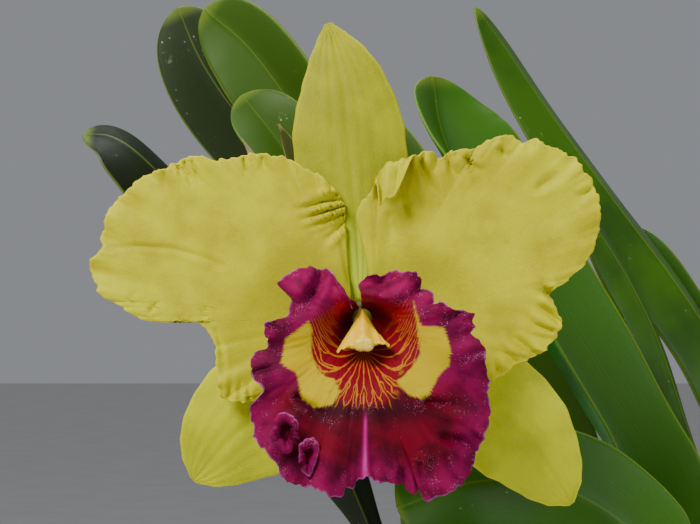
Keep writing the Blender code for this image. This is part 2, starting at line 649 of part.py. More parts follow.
def lip_surface(u, v):
    """The lip at u from its tube to its rim and v round it, from upper left through straight down to
    upper right."""
    angle = mix(LIP_LEFT, LIP_RIGHT, v)
    turn = math.radians(angle)
    s = u ** 0.9
    ring = []
    for k in range(1, 8):
        ring.append(table([(row[0], row[k]) for row in LIP_RINGS], s))
    centre, radius = ring[0], three_way(turn, ring[1], ring[2], ring[3])
    depth = three_way(turn, ring[4], ring[5], ring[6])
    flare = max(s - 0.5, 0) / 0.5
    drawn = table(LIP_RIM, angle) / three_way(turn, *LIP_RINGS[-1][2:5])
    radius *= mix(1.0, drawn, flare ** 1.5)
    wave = math.sin(LIP_WAVES * turn + 0.8 * math.sin(2 * turn))
    depth += LIP_WAVE_DEPTH * wave * flare ** 2.5
    ridge = 1.2 * math.exp(-(angle / 5.0) ** 2) * flare
    return on_bloom(radius * math.sin(turn) + 0.9 * s, centre - radius * math.cos(turn), depth - ridge)


def make_lip(collection):
    """The lip: a tube round the column that opens into a frilled trumpet."""
    blade("lip", lip_surface, LIP_ROWS, LIP_COLUMNS, LIP_THICKNESS, "lip", collection)


def make_column(collection):
    """The column, a hood that widens into two wings, and the anther cap at its end."""
    length, droop = 25.0, 4.6

    def ring(t, angle):
        """The point at t along the column and that angle round it."""
        wide = table(((0.0, COLUMN_FOOT_RADIUS), (0.24, 4.3), (0.6, 5.4), (1.0, 7.4)), t)
        tall = table(((0.0, COLUMN_FOOT_RADIUS), (0.24, 4.2), (0.7, 2.6), (1.0, 1.9)), t)
        across = math.cos(angle)
        upward = math.sin(angle)
        arch = -droop * t * t * across * across
        return on_bloom(wide * across + 0.2 * t, -4.6 * t * t + tall * upward + arch, -2.0 + length * t)
    place("column", tube_mesh("column", ring, 8, 18), "column", collection)

    bm = bmesh.new()
    bmesh.ops.create_uvsphere(bm, u_segments=14, v_segments=8, radius=1.0)
    for vert in bm.verts:
        x, y, z = vert.co
        vert.co = on_bloom(0.4 + 3.3 * x, -6.6 + 2.3 * z, 25.4 + 2.0 * y)
    bm.normal_update()
    bmesh.ops.recalc_face_normals(bm, faces=bm.faces[:])
    mesh = bpy.data.meshes.new("anther_cap")
    bm.to_mesh(mesh)
    bm.free()
    place("anther_cap", mesh, "column", collection)


def main():
    """Builds the potted orchid from the pot up."""
    clear_scene()
    orchid = new_collection("cattleya_orchid")
    make_pot(orchid)
    make_rhizome("rhizome", 0.0, orchid, "rhizome")
    make_bark(orchid)
    make_bulbs(orchid)
    make_leaves(orchid)
    make_spathes(orchid)
    make_stem(orchid)
    make_sepals(orchid)
    make_petals(orchid)
    make_lip(orchid)
    make_column(orchid)


main()
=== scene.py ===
"""The looks of a flowering cattleya orchid in a clay pot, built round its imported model.

Every length is in millimetres until a mesh is made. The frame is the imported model's own: the origin
under the pot, +Z up, and the bloom facing -Y.
"""

import json
import logging
import math
import random
from dataclasses import dataclass, field
from enum import Enum
from functools import partial
from typing import Callable, Sequence

import bmesh
import bpy
import numpy as np
from mathutils import Matrix, Vector

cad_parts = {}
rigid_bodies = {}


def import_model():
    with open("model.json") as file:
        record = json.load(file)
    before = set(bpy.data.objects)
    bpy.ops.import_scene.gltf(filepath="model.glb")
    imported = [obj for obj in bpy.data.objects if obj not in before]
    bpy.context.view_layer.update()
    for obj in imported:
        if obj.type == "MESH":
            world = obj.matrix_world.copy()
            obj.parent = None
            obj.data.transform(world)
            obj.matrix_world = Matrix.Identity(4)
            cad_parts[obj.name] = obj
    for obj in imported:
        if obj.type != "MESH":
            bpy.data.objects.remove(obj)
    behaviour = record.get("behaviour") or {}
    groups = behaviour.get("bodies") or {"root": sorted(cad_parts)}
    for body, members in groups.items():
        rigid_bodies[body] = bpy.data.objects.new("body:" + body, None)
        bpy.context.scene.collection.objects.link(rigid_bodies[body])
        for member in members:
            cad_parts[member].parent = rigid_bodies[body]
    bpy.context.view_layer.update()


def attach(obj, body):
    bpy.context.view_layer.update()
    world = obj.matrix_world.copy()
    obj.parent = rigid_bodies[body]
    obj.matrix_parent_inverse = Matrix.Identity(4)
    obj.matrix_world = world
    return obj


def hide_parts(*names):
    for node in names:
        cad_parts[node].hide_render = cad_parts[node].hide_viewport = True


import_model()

LOG = logging.getLogger("cattleya")
MM = 0.001
BODY = "root"
GOLDEN_ANGLE = math.pi * (3 - math.sqrt(5))

Grid = np.ndarray
Rows = Sequence[tuple[float, ...]]
Adder = Callable[..., bpy.types.NodeSocket]


# Numbers along curves and over grids

def along(points: Rows, t: Grid) -> Grid:
    """Points on the smooth curve through some points.

    Args:
        points: the curve's own points.
        t: places from 0 to 1, shared out by length.

    Returns:
        One point for each place, in a last axis as long as a given point.
    """
    given = np.asarray(points, float)
    runs = np.linalg.norm(np.diff(given, axis=0), axis=1)
    marks = np.concatenate([[0.0], np.cumsum(runs)])
    rest = np.clip(t, 0.0, 1.0) * marks[-1]
    i = np.clip(np.searchsorted(marks, rest, side="right") - 1, 0, len(runs) - 1)
    f = ((rest - marks[i]) / runs[i])[..., None]
    ends = np.vstack([2 * given[:1] - given[1:2], given, 2 * given[-1:] - given[-2:-1]])
    p0, p1, p2, p3 = ends[i], ends[i + 1], ends[i + 2], ends[i + 3]
    return 0.5 * (2 * p1 + (p2 - p0) * f + (2 * p0 - 5 * p1 + 4 * p2 - p3) * f ** 2
                  + (3 * p1 - 3 * p2 + p3 - p0) * f ** 3)


def unit(v: Grid) -> Grid:
    """The same vectors at length one."""
    return v / np.maximum(np.linalg.norm(v, axis=-1, keepdims=True), 1e-9)


def heading(points: Rows, t: Grid) -> Grid:
    """The curve's direction at each place."""
    return unit(along(points, t + 0.01) - along(points, t - 0.01))


def eased(rows: Rows, x: Grid) -> Grid:
    """The values at x of a table of (x, value), eased from row to row.

    Args:
        rows: the table.
        x: where it is read.

    Returns:
        The values, the end values beyond the ends.
    """
    table = np.asarray(rows, float)
    i = np.clip(np.searchsorted(table[:, 0], x, side="right") - 1, 0, len(table) - 2)
    f = np.clip((x - table[i, 0]) / (table[i + 1, 0] - table[i, 0]), 0.0, 1.0)
    return table[i, 1] + (table[i + 1, 1] - table[i, 1]) * f * f * (3 - 2 * f)


def flowing(rows: Rows, x: Grid) -> Grid:
    """The values at x of a table of (x, value), joined by one soft curve."""
    places, values = zip(*rows)
    return sum(np.interp(x + 0.03 * k, places, values) for k in range(-3, 4)) / 7


def rise(low: float, high: float, x: Grid) -> Grid:
    """From 0 at low to 1 at high, eased at both."""
    f = np.clip((x - low) / (high - low), 0.0, 1.0)
    return f * f * (3 - 2 * f)


def bump(x: Grid, at: float, spread: float) -> Grid:
    """A bell of height 1 at one place."""
    return np.exp(-((x - at) / spread) ** 2)


def boxed(x: Grid, power: float) -> Grid:
    """Numbers raised to a power, their signs kept."""
    return np.sign(x) * np.abs(x) ** power


def wander(x: Grid, scale: float, seed: int) -> Grid:
    """Smooth noise from -1 to 1 along x, with a new value every scale.

    Args:
        x: places.
        scale: the distance between two values.
        seed: its own number.

    Returns:
        The noise at x.
    """
    place = np.asarray(x, float) / scale + 512.0
    low = np.floor(place).astype(int)
    draws = np.random.default_rng(seed).uniform(-1, 1, 2048)
    f = place - low
    f = f * f * (3 - 2 * f)
    return draws[low % 2048] * (1 - f) + draws[(low + 1) % 2048] * f


def wander_two(x: Grid, y: Grid, scale: float, seed: int) -> Grid:
    """Smooth noise from -1 to 1 over a plane.

    Args:
        x: places one way.
        y: places the other way.
        scale: the distance between two values.
        seed: its own number.

    Returns:
        The noise at each place.
    """
    u, v = np.asarray(x, float) / scale + 64.0, np.asarray(y, float) / scale + 64.0
    i, j = np.floor(u).astype(int), np.floor(v).astype(int)
    draws = np.random.default_rng(seed).uniform(-1, 1, (256, 256))
    f, g = u - i, v - j
    f, g = f * f * (3 - 2 * f), g * g * (3 - 2 * g)
    i, j = i % 256, j % 256
    k, m = (i + 1) % 256, (j + 1) % 256
    low = draws[i, j] * (1 - f) + draws[k, j] * f
    high = draws[i, m] * (1 - f) + draws[k, m] * f
    return low * (1 - g) + high * g


def turned(v: Grid, axis: Grid, angle: Grid) -> Grid:
    """Vectors turned about unit axes by angles in radians."""
    c, s = np.cos(angle)[..., None], np.sin(angle)[..., None]
    return v * c + np.cross(axis, v) * s + axis * (axis * v).sum(-1, keepdims=True) * (1 - c)


# Meshes

@dataclass
class Skin:
    """A grid of points to be made into a mesh, with values held at each point."""

    points: Grid
    around: bool = False
    capped: bool = False
    values: dict[str, Grid] = field(default_factory=dict)

    def mesh(self, name: str) -> bpy.types.Mesh:
        """Makes the mesh.

        Args:
            name: the mesh's name.

        Returns:
            A mesh in metres, with the values as point attributes.
        """
        rows, columns = self.points.shape[:2]
        index = np.arange(rows * columns).reshape(rows, columns)
        if self.around:
            index = np.hstack([index, index[:, :1]])
        quads = np.stack([index[:-1, :-1], index[:-1, 1:], index[1:, 1:], index[1:, :-1]], -1)
        faces = quads.reshape(-1, 4).tolist()
        spots = self.points.reshape(-1, 3)
        if self.capped:
            half = columns // 2
            for row, order in ((index[0], 1), (index[-1], -1)):
                near, far = row[:half], row[half:2 * half][::-1]
                ends = np.stack([near[:-1], near[1:], far[1:], far[:-1]], -1)[:, ::order]
                faces += ends.tolist()
        made = bpy.data.meshes.new(name)
        made.from_pydata((spots * MM).tolist(), [], faces)
        for key, value in self.values.items():
            layer = made.attributes.new(key, "FLOAT", "POINT")
            layer.data.foreach_set("value", np.broadcast_to(value, (rows, columns)).ravel().astype("f"))
        made.update()
        whole = bmesh.new()
        whole.from_mesh(made)
        bmesh.ops.recalc_face_normals(whole, faces=whole.faces[:])
        whole.to_mesh(made)
        whole.free()
        made.shade_smooth()
        return made

    def piece(self, name: str) -> bpy.types.Object:
        """Makes the object and links it to the scene.

        Args:
            name: the object's name.

        Returns:
            The object.
        """
        obj = bpy.data.objects.new(name, self.mesh(name))
        bpy.context.scene.collection.objects.link(obj)
        return obj

    def outward(self) -> Grid:
        """The unit vector square to the grid at each of its points."""
        ahead, across = np.gradient(self.points, axis=0), np.gradient(self.points, axis=1)
        return unit(np.cross(across, ahead))

    def thickened(self, half: Grid | float) -> "Skin":
        """A closed skin round this open sheet.

        Args:
            half: half the thickness at each point, in millimetres.

        Returns:
            The sheet's front, then its back, as one grid that closes on itself, with face as a
            value: 1 in front and 0 behind.
        """
        step = self.outward() * np.broadcast_to(half, self.points.shape[:2])[..., None]
        front, back = self.points + step, self.points - step
        values = {key: np.hstack([held, held[:, ::-1]]) for key, held in self.values.items()}
        values["face"] = np.hstack([np.ones(front.shape[:2]), np.zeros(back.shape[:2])])
        return Skin(np.hstack([front, back[:, ::-1]]), around=True, capped=True, values=values)


def lattice(rows: int, columns: int, around: bool = False) -> tuple[Grid, Grid]:
    """Two grids of numbers from 0 to 1, down the rows and along the columns.

    Args:
        rows: how many rows.
        columns: how many columns.
        around: whether the columns close on themselves.

    Returns:
        The two grids.
    """
    u = np.linspace(0, 1, rows)
    v = np.linspace(0, 1, columns, endpoint=not around)
    return np.meshgrid(u, v, indexing="ij")


def loft(spine: Rows, radius: Callable[[Grid], Grid], rows: int, sides: int,
         side: tuple[float, float, float] = (1, 0, 0),
         shape: Callable[[Grid, Grid], Grid] | None = None) -> Skin:
    """A closed tube round a spine.

    Args:
        spine: the points it runs through.
        radius: its radius for places from 0 to 1.
        rows: points along it.
        sides: points round it.
        side: a direction that angle 0 faces, as near as the spine lets it.
        shape: a share of the radius by place and angle, or none for a round tube.

    Returns:
        The tube, with its place along and its angle as values.
    """
    t, turn = lattice(rows, sides, around=True)
    turn = turn * math.tau
    line = t[:, 0]
    ahead = heading(spine, line)
    across = unit(np.asarray(side, float) - ahead * (ahead @ np.asarray(side, float))[:, None])
    up = np.cross(ahead, across)
    reach = radius(t)
    if shape:
        reach = reach * shape(t, turn)
    ring = across[:, None] * np.cos(turn)[..., None] + up[:, None] * np.sin(turn)[..., None]
    points = along(spine, line)[:, None] + ring * reach[..., None]
    return Skin(points, around=True, capped=True, values={"place": t, "turn": turn})


# Materials

class Kind(Enum):
    """The nodes in use. Each has its type, its inputs in order with their usual values, or None for
    the node's own, its settings, and the output that is read."""

    PLACE = ("ShaderNodeTexCoord", {}, {}, "Object")
    VALUE = ("ShaderNodeAttribute", {}, {}, "Fac")
    STRETCH = ("ShaderNodeMapping", {0: None, "Scale": None}, {}, 0)
    NOISE = ("ShaderNodeTexNoise", {"Vector": None, "Scale": None, "Detail": 3.0, "Roughness": 0.55}, {}, 0)
    LINES = ("ShaderNodeTexNoise", {"W": None, "Scale": 1.0, "Detail": 2.0}, {"noise_dimensions": "1D"}, 0)
    CELLS = ("ShaderNodeTexVoronoi", {"Vector": None, "Scale": None}, {}, "Distance")
    PICK = ("ShaderNodeSeparateColor", {0: None}, {}, 0)
    BAND = ("ShaderNodeMapRange", {0: None, 1: None, 2: None, 3: 0.0, 4: 1.0},
            {"interpolation_type": "SMOOTHSTEP"}, 0)
    MIX = ("ShaderNodeMix", {0: None, 6: None, 7: None}, {"data_type": "RGBA"}, 2)
    BUMP = ("ShaderNodeBump", {"Height": None, "Distance": None, "Normal": None, "Strength": 1.0}, {}, 0)
    TIMES, PLUS, MINUS, LEAST, MOST, FOLD, ABOVE = (
        ("ShaderNodeMath", {0: None, 1: None}, {"operation": name}, 0) for name in (
            "MULTIPLY", "ADD", "SUBTRACT", "MINIMUM", "MAXIMUM", "PINGPONG", "GREATER_THAN"))
    SIZE = ("ShaderNodeMath", {0: None}, {"operation": "ABSOLUTE"}, 0)


def linear(colour: str) -> tuple[float, float, float, float]:
    """An sRGB hex colour as linear red, green, blue and alpha."""
    parts = [int(colour[i:i + 2], 16) / 255 for i in (1, 3, 5)]
    return (*[c / 12.92 if c <= 0.04045 else ((c + 0.055) / 1.055) ** 2.4 for c in parts], 1.0)


def per(size: float) -> float:
    """The scale of a pattern whose features measure that many millimetres."""
    return 1 / (size * MM)


def fill(tree: bpy.types.NodeTree, socket: bpy.types.NodeSocket, given: object) -> None:
    """Fills an input.

    Args:
        tree: the material's node tree.
        socket: the input.
        given: a socket to link, a colour in sRGB hex, the name of a value that the mesh holds, or a
            plain value.
    """
    if isinstance(given, str):
        given = linear(given) if given.startswith("#") else node(tree, Kind.VALUE, attribute_name=given)
    if isinstance(given, bpy.types.NodeSocket):
        tree.links.new(given, socket)
    else:
        socket.default_value = given


def node(tree: bpy.types.NodeTree, kind: Kind, *inputs: object, **settings: object) -> bpy.types.NodeSocket:
    """Adds a node to a tree.

    Args:
        tree: the material's node tree.
        kind: which node.
        inputs: what fills its inputs, in the order that the kind gives, or None to leave one alone.
        settings: the node's own settings besides those of its kind.

    Returns:
        The output that is read.
    """
    type_name, usual, fixed, output = kind.value
    made = tree.nodes.new(type_name)
    for key, setting in {**fixed, **settings}.items():
        setattr(made, key, setting)
    for key, given in {**usual, **dict(zip(usual, inputs))}.items():
        if given is not None:
            fill(tree, made.inputs[key], given)
    return made.outputs[output]


def lit_through(weight: float, radius: tuple[float, float, float], scale: float) -> dict[str, object]:
    """The shader's inputs for light that wanders in tissue, its scale in millimetres."""
    return {"Subsurface Weight": weight, "Subsurface Radius": radius, "Subsurface Scale": scale * MM}


@dataclass
class Surface:
    """What a finish gives its shader: a tone, colours laid over it by their shares, reliefs with their
    depths in millimetres, and what fills the other inputs."""

    tone: object
    layers: Sequence[tuple[object, object]]
    reliefs: Sequence[tuple[object, float]]
    rest: dict[str, object]


@dataclass(frozen=True)
class Finish:
    """A finish: its material's name, and the surface that each kind of finish gives it."""

    name: str

    def surface(self, add: Adder) -> Surface:
        """What the finish gives its shader, from nodes that add makes."""
        raise NotImplementedError

    def material(self) -> bpy.types.Material:
        """Builds the material.

        Returns:
            The material.
        """
        made = bpy.data.materials.new(self.name)
        made.use_nodes = True
        tree = made.node_tree
        add = partial(node, tree)
        surface = self.surface(add)
        tone, normal = surface.tone, None
        for share, colour in surface.layers:
            tone = add(Kind.MIX, share, tone, colour)
        for height, depth in surface.reliefs:
            normal = add(Kind.BUMP, height, depth * MM, normal)
        skin = tree.nodes["Principled BSDF"]
        for key, given in {"Base Color": tone, "Normal": normal, **surface.rest}.items():
            if given is not None:
                fill(tree, skin.inputs[key], given)
        return made


@dataclass(frozen=True)
class PetalTissue(Finish):
    """Living petal tissue: a skin of tiny domed cells, which gives a soft satin with fine glitter."""

    body: str
    shade: str
    # rim: a painted highlight along the margin's lit edge
    rim: str
    glint: str
    # the claw's colour, over its own greener tone: darker as painted shade on the petals and lateral sepals,
    # paler as painted light on the dorsal sepal
    claw: str = "#9C9A04"
    rib_tone: float = 0.12
    ribs: float = 120.0     # across a whole petal
    cell: float = 0.30      # real cells are about 0.05 mm: drawn coarser so that they show
    grain: float = 0.05
    roughness: float = 0.55

    def surface(self, add: Adder) -> Surface:
        """Clouds and ribs, a claw over its own greener tone that is darker as painted shade on the petals and
        lateral sepals and paler as painted light on the dorsal sepal, a painted highlight along the margin,
        and glints on single cells.

        Args:
            add: adds a node.

        Returns:
            The surface.
        """
        place = add(Kind.PLACE)
        rib = add(Kind.LINES, add(Kind.TIMES, "fan", self.ribs))
        cells = add(Kind.CELLS, place, per(self.cell))
        spark = add(Kind.BAND, add(Kind.PICK, cells.node.outputs["Color"]), 0.8, 1.0)
        fleck = add(Kind.TIMES, spark, add(Kind.BAND, cells, 0.45, 0.15))
        cloud = add(Kind.NOISE, place, per(14.0), 4.0)
        layers = ((add(Kind.BAND, cloud, 0.35, 0.7), self.shade),
                  (add(Kind.BAND, rib, 0.42, 0.62, 0.0, self.rib_tone), self.shade),
                  # painted highlight: a paler band along the margin's lit edge
                  (add(Kind.BAND, "inset", 1.4, 0.0, 0.0, 0.6), self.rim),
                  # the claw: its own greener tone, with painted shade on the petals and lateral sepals and
                  # painted light on the dorsal sepal
                  (add(Kind.BAND, "reach", 0.45, 0.0, 0.0, 0.8), self.claw),
                  (add(Kind.TIMES, fleck, 0.45), self.glint))
        reliefs = ((add(Kind.BAND, cells, 0.0, 0.6, 1.0, 0.0), self.grain), (rib, 0.010),
                   (add(Kind.NOISE, place, per(0.8), 4.0, 0.6), 0.10))
        gloss = add(Kind.MINUS, self.roughness, add(Kind.TIMES, fleck, 0.22))
        return Surface(self.body, layers, reliefs, {
            "Roughness": gloss, "IOR": 1.42, "Specular IOR Level": 0.25,
            **lit_through(0.12, (1.0, 0.8, 0.25), 1.2)})


@dataclass(frozen=True)
class LipTissue(Finish):
    """The lip's velvet: fine hairs that scatter light rather than shine, so a deep magenta with yellow
    eyes, gold veins in a crimson throat and a frost of glints along the creases and the rim; painted shade
    darkens the creases, the tube's depth and the curls' feet, painted light brightens the hollows under the
    brow, and a painted highlight runs down the keel."""

    name: str = "lip_velvet"
    wine: str = "#66021A"
    dark: str = "#2C0210"
    magenta: str = "#74033E"
    flush: str = "#9C0552"
    frost: str = "#A24E9C"
    crimson: str = "#720717"
    # painted light: a brighter crimson for the hollows under the brow, where the column and the lobes shade
    # the throat
    cavity: str = "#920818"
    gold: str = "#A86A0C"
    eye: str = "#AC9600"
    amber: str = "#B48E00"
    keel: str = "#B4107C"
    glint: str = "#D88CC4"
    cell: float = 0.24      # real cells are about 0.05 mm: drawn coarser so that they show
    combs: float = 420.0    # streaks at the eyes' edge, counted over the whole rim

    def surface(self, add: Adder) -> Surface:
        """The tones from the heart out with painted shade and light, the veins, the eyes, the keel with its
        painted highlight, and the frost.

        Args:
            add: adds a node.

        Returns:
            The surface.
        """
        place = add(Kind.PLACE)
        near_vein = self.veins(add, place)
        patch = self.patch(add, place, near_vein)
        fleck, near_cell = self.flecks(add, place, patch)
        thin = add(Kind.BAND, add(Kind.MINUS, "vein_width", near_vein), -0.02, 0.02)
        thick = add(Kind.BAND, add(Kind.NOISE, place, per(9.0), 2.0), 0.35, 0.6)
        yolk = add(Kind.MIX, add(Kind.BAND, add(Kind.NOISE, place, per(6.0)), 0.5, 0.8), self.eye, self.amber)
        layers = (("middle", self.wine), ("flush", self.flush),
                  (add(Kind.BAND, add(Kind.NOISE, place, per(7.0), 4.0), 0.40, 0.66, 0.0, 0.6), self.dark),
                  # painted shade: the creases darken towards dark
                  (add(Kind.TIMES, "crease", 0.3), self.dark), ("throat", self.crimson),
                  # gloom darkens the band below the throat, and as painted shade the tube's depth and the
                  # curls' feet
                  (add(Kind.TIMES, "gloom", 0.9), self.dark), ("cavity", self.cavity),
                  (add(Kind.TIMES, thin, "veined"), self.gold), (patch, yolk),
                  # painted highlight: the glint colour down the keel
                  ("keel", self.keel), ("keel_core", self.glint),
                  (add(Kind.TIMES, add(Kind.BAND, "inset", 0.55, 0.05, 0.0, 0.75), thick), self.frost),
                  (add(Kind.TIMES, fleck, 0.6), self.glint))
        reliefs = ((near_cell, 0.03), (add(Kind.NOISE, place, per(0.9), 4.0, 0.6), 0.12))
        gloss = add(Kind.MINUS, 0.6, add(Kind.TIMES, fleck, 0.3))
        return Surface(self.magenta, layers, reliefs, {
            "Roughness": gloss, "IOR": 1.42, "Specular IOR Level": 0.1,
            **lit_through(0.03, (1.0, 0.15, 0.2), 0.6)})

    def veins(self, add: Adder, place: bpy.types.NodeSocket) -> bpy.types.NodeSocket:
        """How far each point lies from its nearest vein: main veins from the throat's floor, each
        forked once on its way out.

        Args:
            add: adds a node.
            place: the object's coordinates.

        Returns:
            The distance, as a share of the space between two veins.
        """
        stray, drift = (add(Kind.TIMES, add(Kind.MINUS, add(Kind.NOISE, place, per(size), detail), 0.5), much)
                        for size, detail, much in ((3.6, 3.0, 0.45), (5.0, 1.0, 0.9)))
        main = add(Kind.FOLD, add(Kind.PLUS, "vein", stray), 0.5)
        late = add(Kind.MOST, add(Kind.PLUS, "fork", drift), 0.0)
        twig = add(Kind.SIZE, add(Kind.MINUS, main, add(Kind.LEAST, late, 0.5)))
        return add(Kind.LEAST, main, twig)

    def patch(self, add: Adder, place: bpy.types.NodeSocket, near_vein: bpy.types.NodeSocket
              ) -> bpy.types.NodeSocket:
        """The yellow eyes, feathered outward by short streaks and inward by the veins.

        Args:
            add: adds a node.
            place: the object's coordinates.
            near_vein: the distance from the nearest vein.

        Returns:
            The eyes' share of the tone.
        """
        streaks = add(Kind.LINES, add(Kind.TIMES, "fan", self.combs), 1.0, 1.0)
        comb, soft = (add(Kind.TIMES, add(Kind.MINUS, source, 0.5), much)
                      for source, much in ((streaks, 0.35), (add(Kind.NOISE, place, per(1.5)), 0.3)))
        edge = add(Kind.PLUS, "eye", add(Kind.PLUS, comb, soft))
        fringe = add(Kind.TIMES, add(Kind.BAND, near_vein, 0.16, 0.3), "throat")
        return add(Kind.MINUS, add(Kind.BAND, edge, 0.36, 0.66), fringe, use_clamp=True)

    def flecks(self, add: Adder, place: bpy.types.NodeSocket, patch: bpy.types.NodeSocket
               ) -> tuple[bpy.types.NodeSocket, bpy.types.NodeSocket]:
        """The glints of single cells, thick along the rim and the creases.

        Args:
            add: adds a node.
            place: the object's coordinates.
            patch: the eyes' share, where there are none.

        Returns:
            The glints, and how near each point lies to the middle of its cell.
        """
        cells = add(Kind.CELLS, place, per(self.cell))
        near = add(Kind.BAND, cells, 0.5, 0.15)
        cloud = add(Kind.NOISE, place, per(4.5), 4.0)
        rich = add(Kind.PLUS, add(Kind.TIMES, add(Kind.BAND, cloud, 0.46, 0.68, 0.0, 0.45), "frost"), 0.004)
        chance = add(Kind.ABOVE, add(Kind.PLUS, add(Kind.PICK, cells.node.outputs["Color"]), rich), 1.0)
        plain = add(Kind.MINUS, 1.0, patch, use_clamp=True)
        return add(Kind.TIMES, add(Kind.TIMES, chance, near), plain), near


@dataclass(frozen=True)
class LeafCuticle(Finish):
    """A waxy leaf: a smooth cuticle over thick tissue, which gives broad soft gloss, with pale margins and a
    pale midrib painted on as highlights, and specks of lime from dried water."""

    upper: str
    lower: str
    deep: str
    pale: str = "#6F8428"
    foot: str = "#66782A"
    speck: str = "#B3BE90"
    speck_space: float = 2.6
    roughness: float = 0.34

    def surface(self, add: Adder) -> Surface:
        """Both faces' greens, fine veins, a painted highlight down the midrib and along the margins, the tip
        and the foot, and the lime over them.

        Args:
            add: adds a node.

        Returns:
            The surface.
        """
        place = add(Kind.PLACE)
        face = add(Kind.BAND, "face", 0.4, 0.6)
        lines = add(Kind.LINES, add(Kind.TIMES, "side", 34.0), 1.0, 1.0)
        away = add(Kind.SIZE, "side")
        spots = add(Kind.CELLS, place, per(self.speck_space))
        chance = add(Kind.PICK, spots.node.outputs["Color"]).node.outputs[1]
        patchy = add(Kind.BAND, add(Kind.NOISE, place, per(18.0), 2.0), 0.48, 0.66)
        chosen = add(Kind.BAND, chance, 0.55, 0.75, 0.0, 0.6)
        lime = add(Kind.TIMES, add(Kind.BAND, spots, 0.17, 0.05), chosen)
        scuff = add(Kind.BAND, add(Kind.NOISE, place, per(3.2), 5.0, 0.7), 0.62, 0.72, 0.0, 0.16)
        chalk = add(Kind.PLUS, add(Kind.TIMES, lime, patchy), add(Kind.TIMES, scuff, patchy), use_clamp=True)
        broad = add(Kind.BAND, add(Kind.NOISE, place, per(30.0)), 0.35, 0.68)
        green = add(Kind.MIX, face, self.lower, add(Kind.MIX, broad, self.upper, self.deep))
        layers = ((add(Kind.BAND, lines, 0.5, 0.7, 0.0, 0.10), self.deep),
                  # painted highlights: a pale line down the midrib's keel and along the margins' lit edges
                  (add(Kind.BAND, away, 0.045, 0.0, 0.0, 0.35), self.pale),
                  (add(Kind.BAND, away, 0.96, 1.0, 0.0, 0.6), self.pale),
                  (add(Kind.BAND, "place", 0.975, 1.0, 0.0, 0.6), self.pale),
                  (add(Kind.BAND, "place", 0.10, 0.0, 0.0, 0.6), self.foot), (chalk, self.speck))
        reliefs = ((lines, 0.025), (add(Kind.NOISE, place, per(6.0), 2.0), 0.08),
                   (add(Kind.NOISE, place, per(0.7)), 0.03))
        gloss = add(Kind.PLUS, add(Kind.TIMES, chalk, 0.35), self.roughness)
        dull = add(Kind.PLUS, gloss, add(Kind.BAND, face, 0.0, 1.0, 0.14, 0.0))
        return Surface(green, layers, reliefs, {
            "Roughness": dull, "IOR": 1.45, "Specular IOR Level": 0.25,
            **lit_through(0.05, (0.5, 1.0, 0.2), 1.5)})


@dataclass(frozen=True)
class Horn(Finish):
    """Firm waxy tissue, as on pseudobulbs, stems and the column: a half-gloss skin over fibres that
    run its length."""

    body: str
    shade: str
    tint: str
    fibre: float = 40.0
    roughness: float = 0.42
    glow: float = 0.1

    def surface(self, add: Adder) -> Surface:
        """Clouds and fibres, tinted where the mesh says so.

        Args:
            add: adds a node.

        Returns:
            The surface.
        """
        place = add(Kind.PLACE)
        lines = add(Kind.LINES, add(Kind.TIMES, "turn", self.fibre), 0.16)
        cloud = add(Kind.NOISE, place, per(9.0), 4.0)
        layers = ((add(Kind.BAND, cloud, 0.35, 0.68), self.shade),
                  (add(Kind.BAND, lines, 0.45, 0.7, 0.0, 0.4), self.shade), ("tinted", self.tint))
        reliefs = ((lines, 0.12), (add(Kind.NOISE, place, per(1.2)), 0.06))
        return Surface(self.body, layers, reliefs, {
            "Roughness": self.roughness, "IOR": 1.45, **lit_through(self.glow, (1.0, 0.8, 0.35), 1.0)})


@dataclass(frozen=True)
class DryBract(Finish):
    """A dead papery bract: parchment with brown fibres, quite matt."""

    name: str = "dry_bract"
    body: str = "#A79B74"
    fibre: str = "#6E5B3A"
    pale: str = "#C9C0A0"

    def surface(self, add: Adder) -> Surface:
        """Brown fibres and pale clouds.

        Args:
            add: adds a node.

        Returns:
            The surface.
        """
        lines = add(Kind.LINES, add(Kind.TIMES, "side", 30.0), 1.0, 3.0)
        cloud = add(Kind.NOISE, add(Kind.PLACE), per(5.0), 4.0)
        layers = ((add(Kind.BAND, lines, 0.38, 0.66), self.fibre),
                  (add(Kind.BAND, cloud, 0.5, 0.75), self.pale))
        return Surface(self.body, layers, ((lines, 0.2),), {"Roughness": 0.75})


@dataclass(frozen=True)
class FirBark(Finish):
    """Broken conifer bark: layered reddish-brown cork, dull and rough, with dusty pale layers."""

    name: str = "fir_bark"
    deep: str = "#2E1B12"
    body: str = "#5E3A25"
    layer: str = "#8A6446"

    def surface(self, add: Adder) -> Surface:
        """Broad clouds under thin layers, with grit.

        Args:
            add: adds a node.

        Returns:
            The surface.
        """
        place = add(Kind.PLACE)
        layered = add(Kind.NOISE, add(Kind.STRETCH, place, (1, 1, 3.5)), per(2.2), 5.0, 0.6)
        coarse = add(Kind.NOISE, place, per(11.0), 4.0)
        layers = ((add(Kind.BAND, coarse, 0.3, 0.7), self.body),
                  (add(Kind.BAND, layered, 0.5, 0.75), self.layer))
        reliefs = ((layered, 0.8), (add(Kind.NOISE, place, per(0.8), 4.0), 0.3))
        return Surface(self.deep, layers, reliefs, {"Roughness": 0.92})


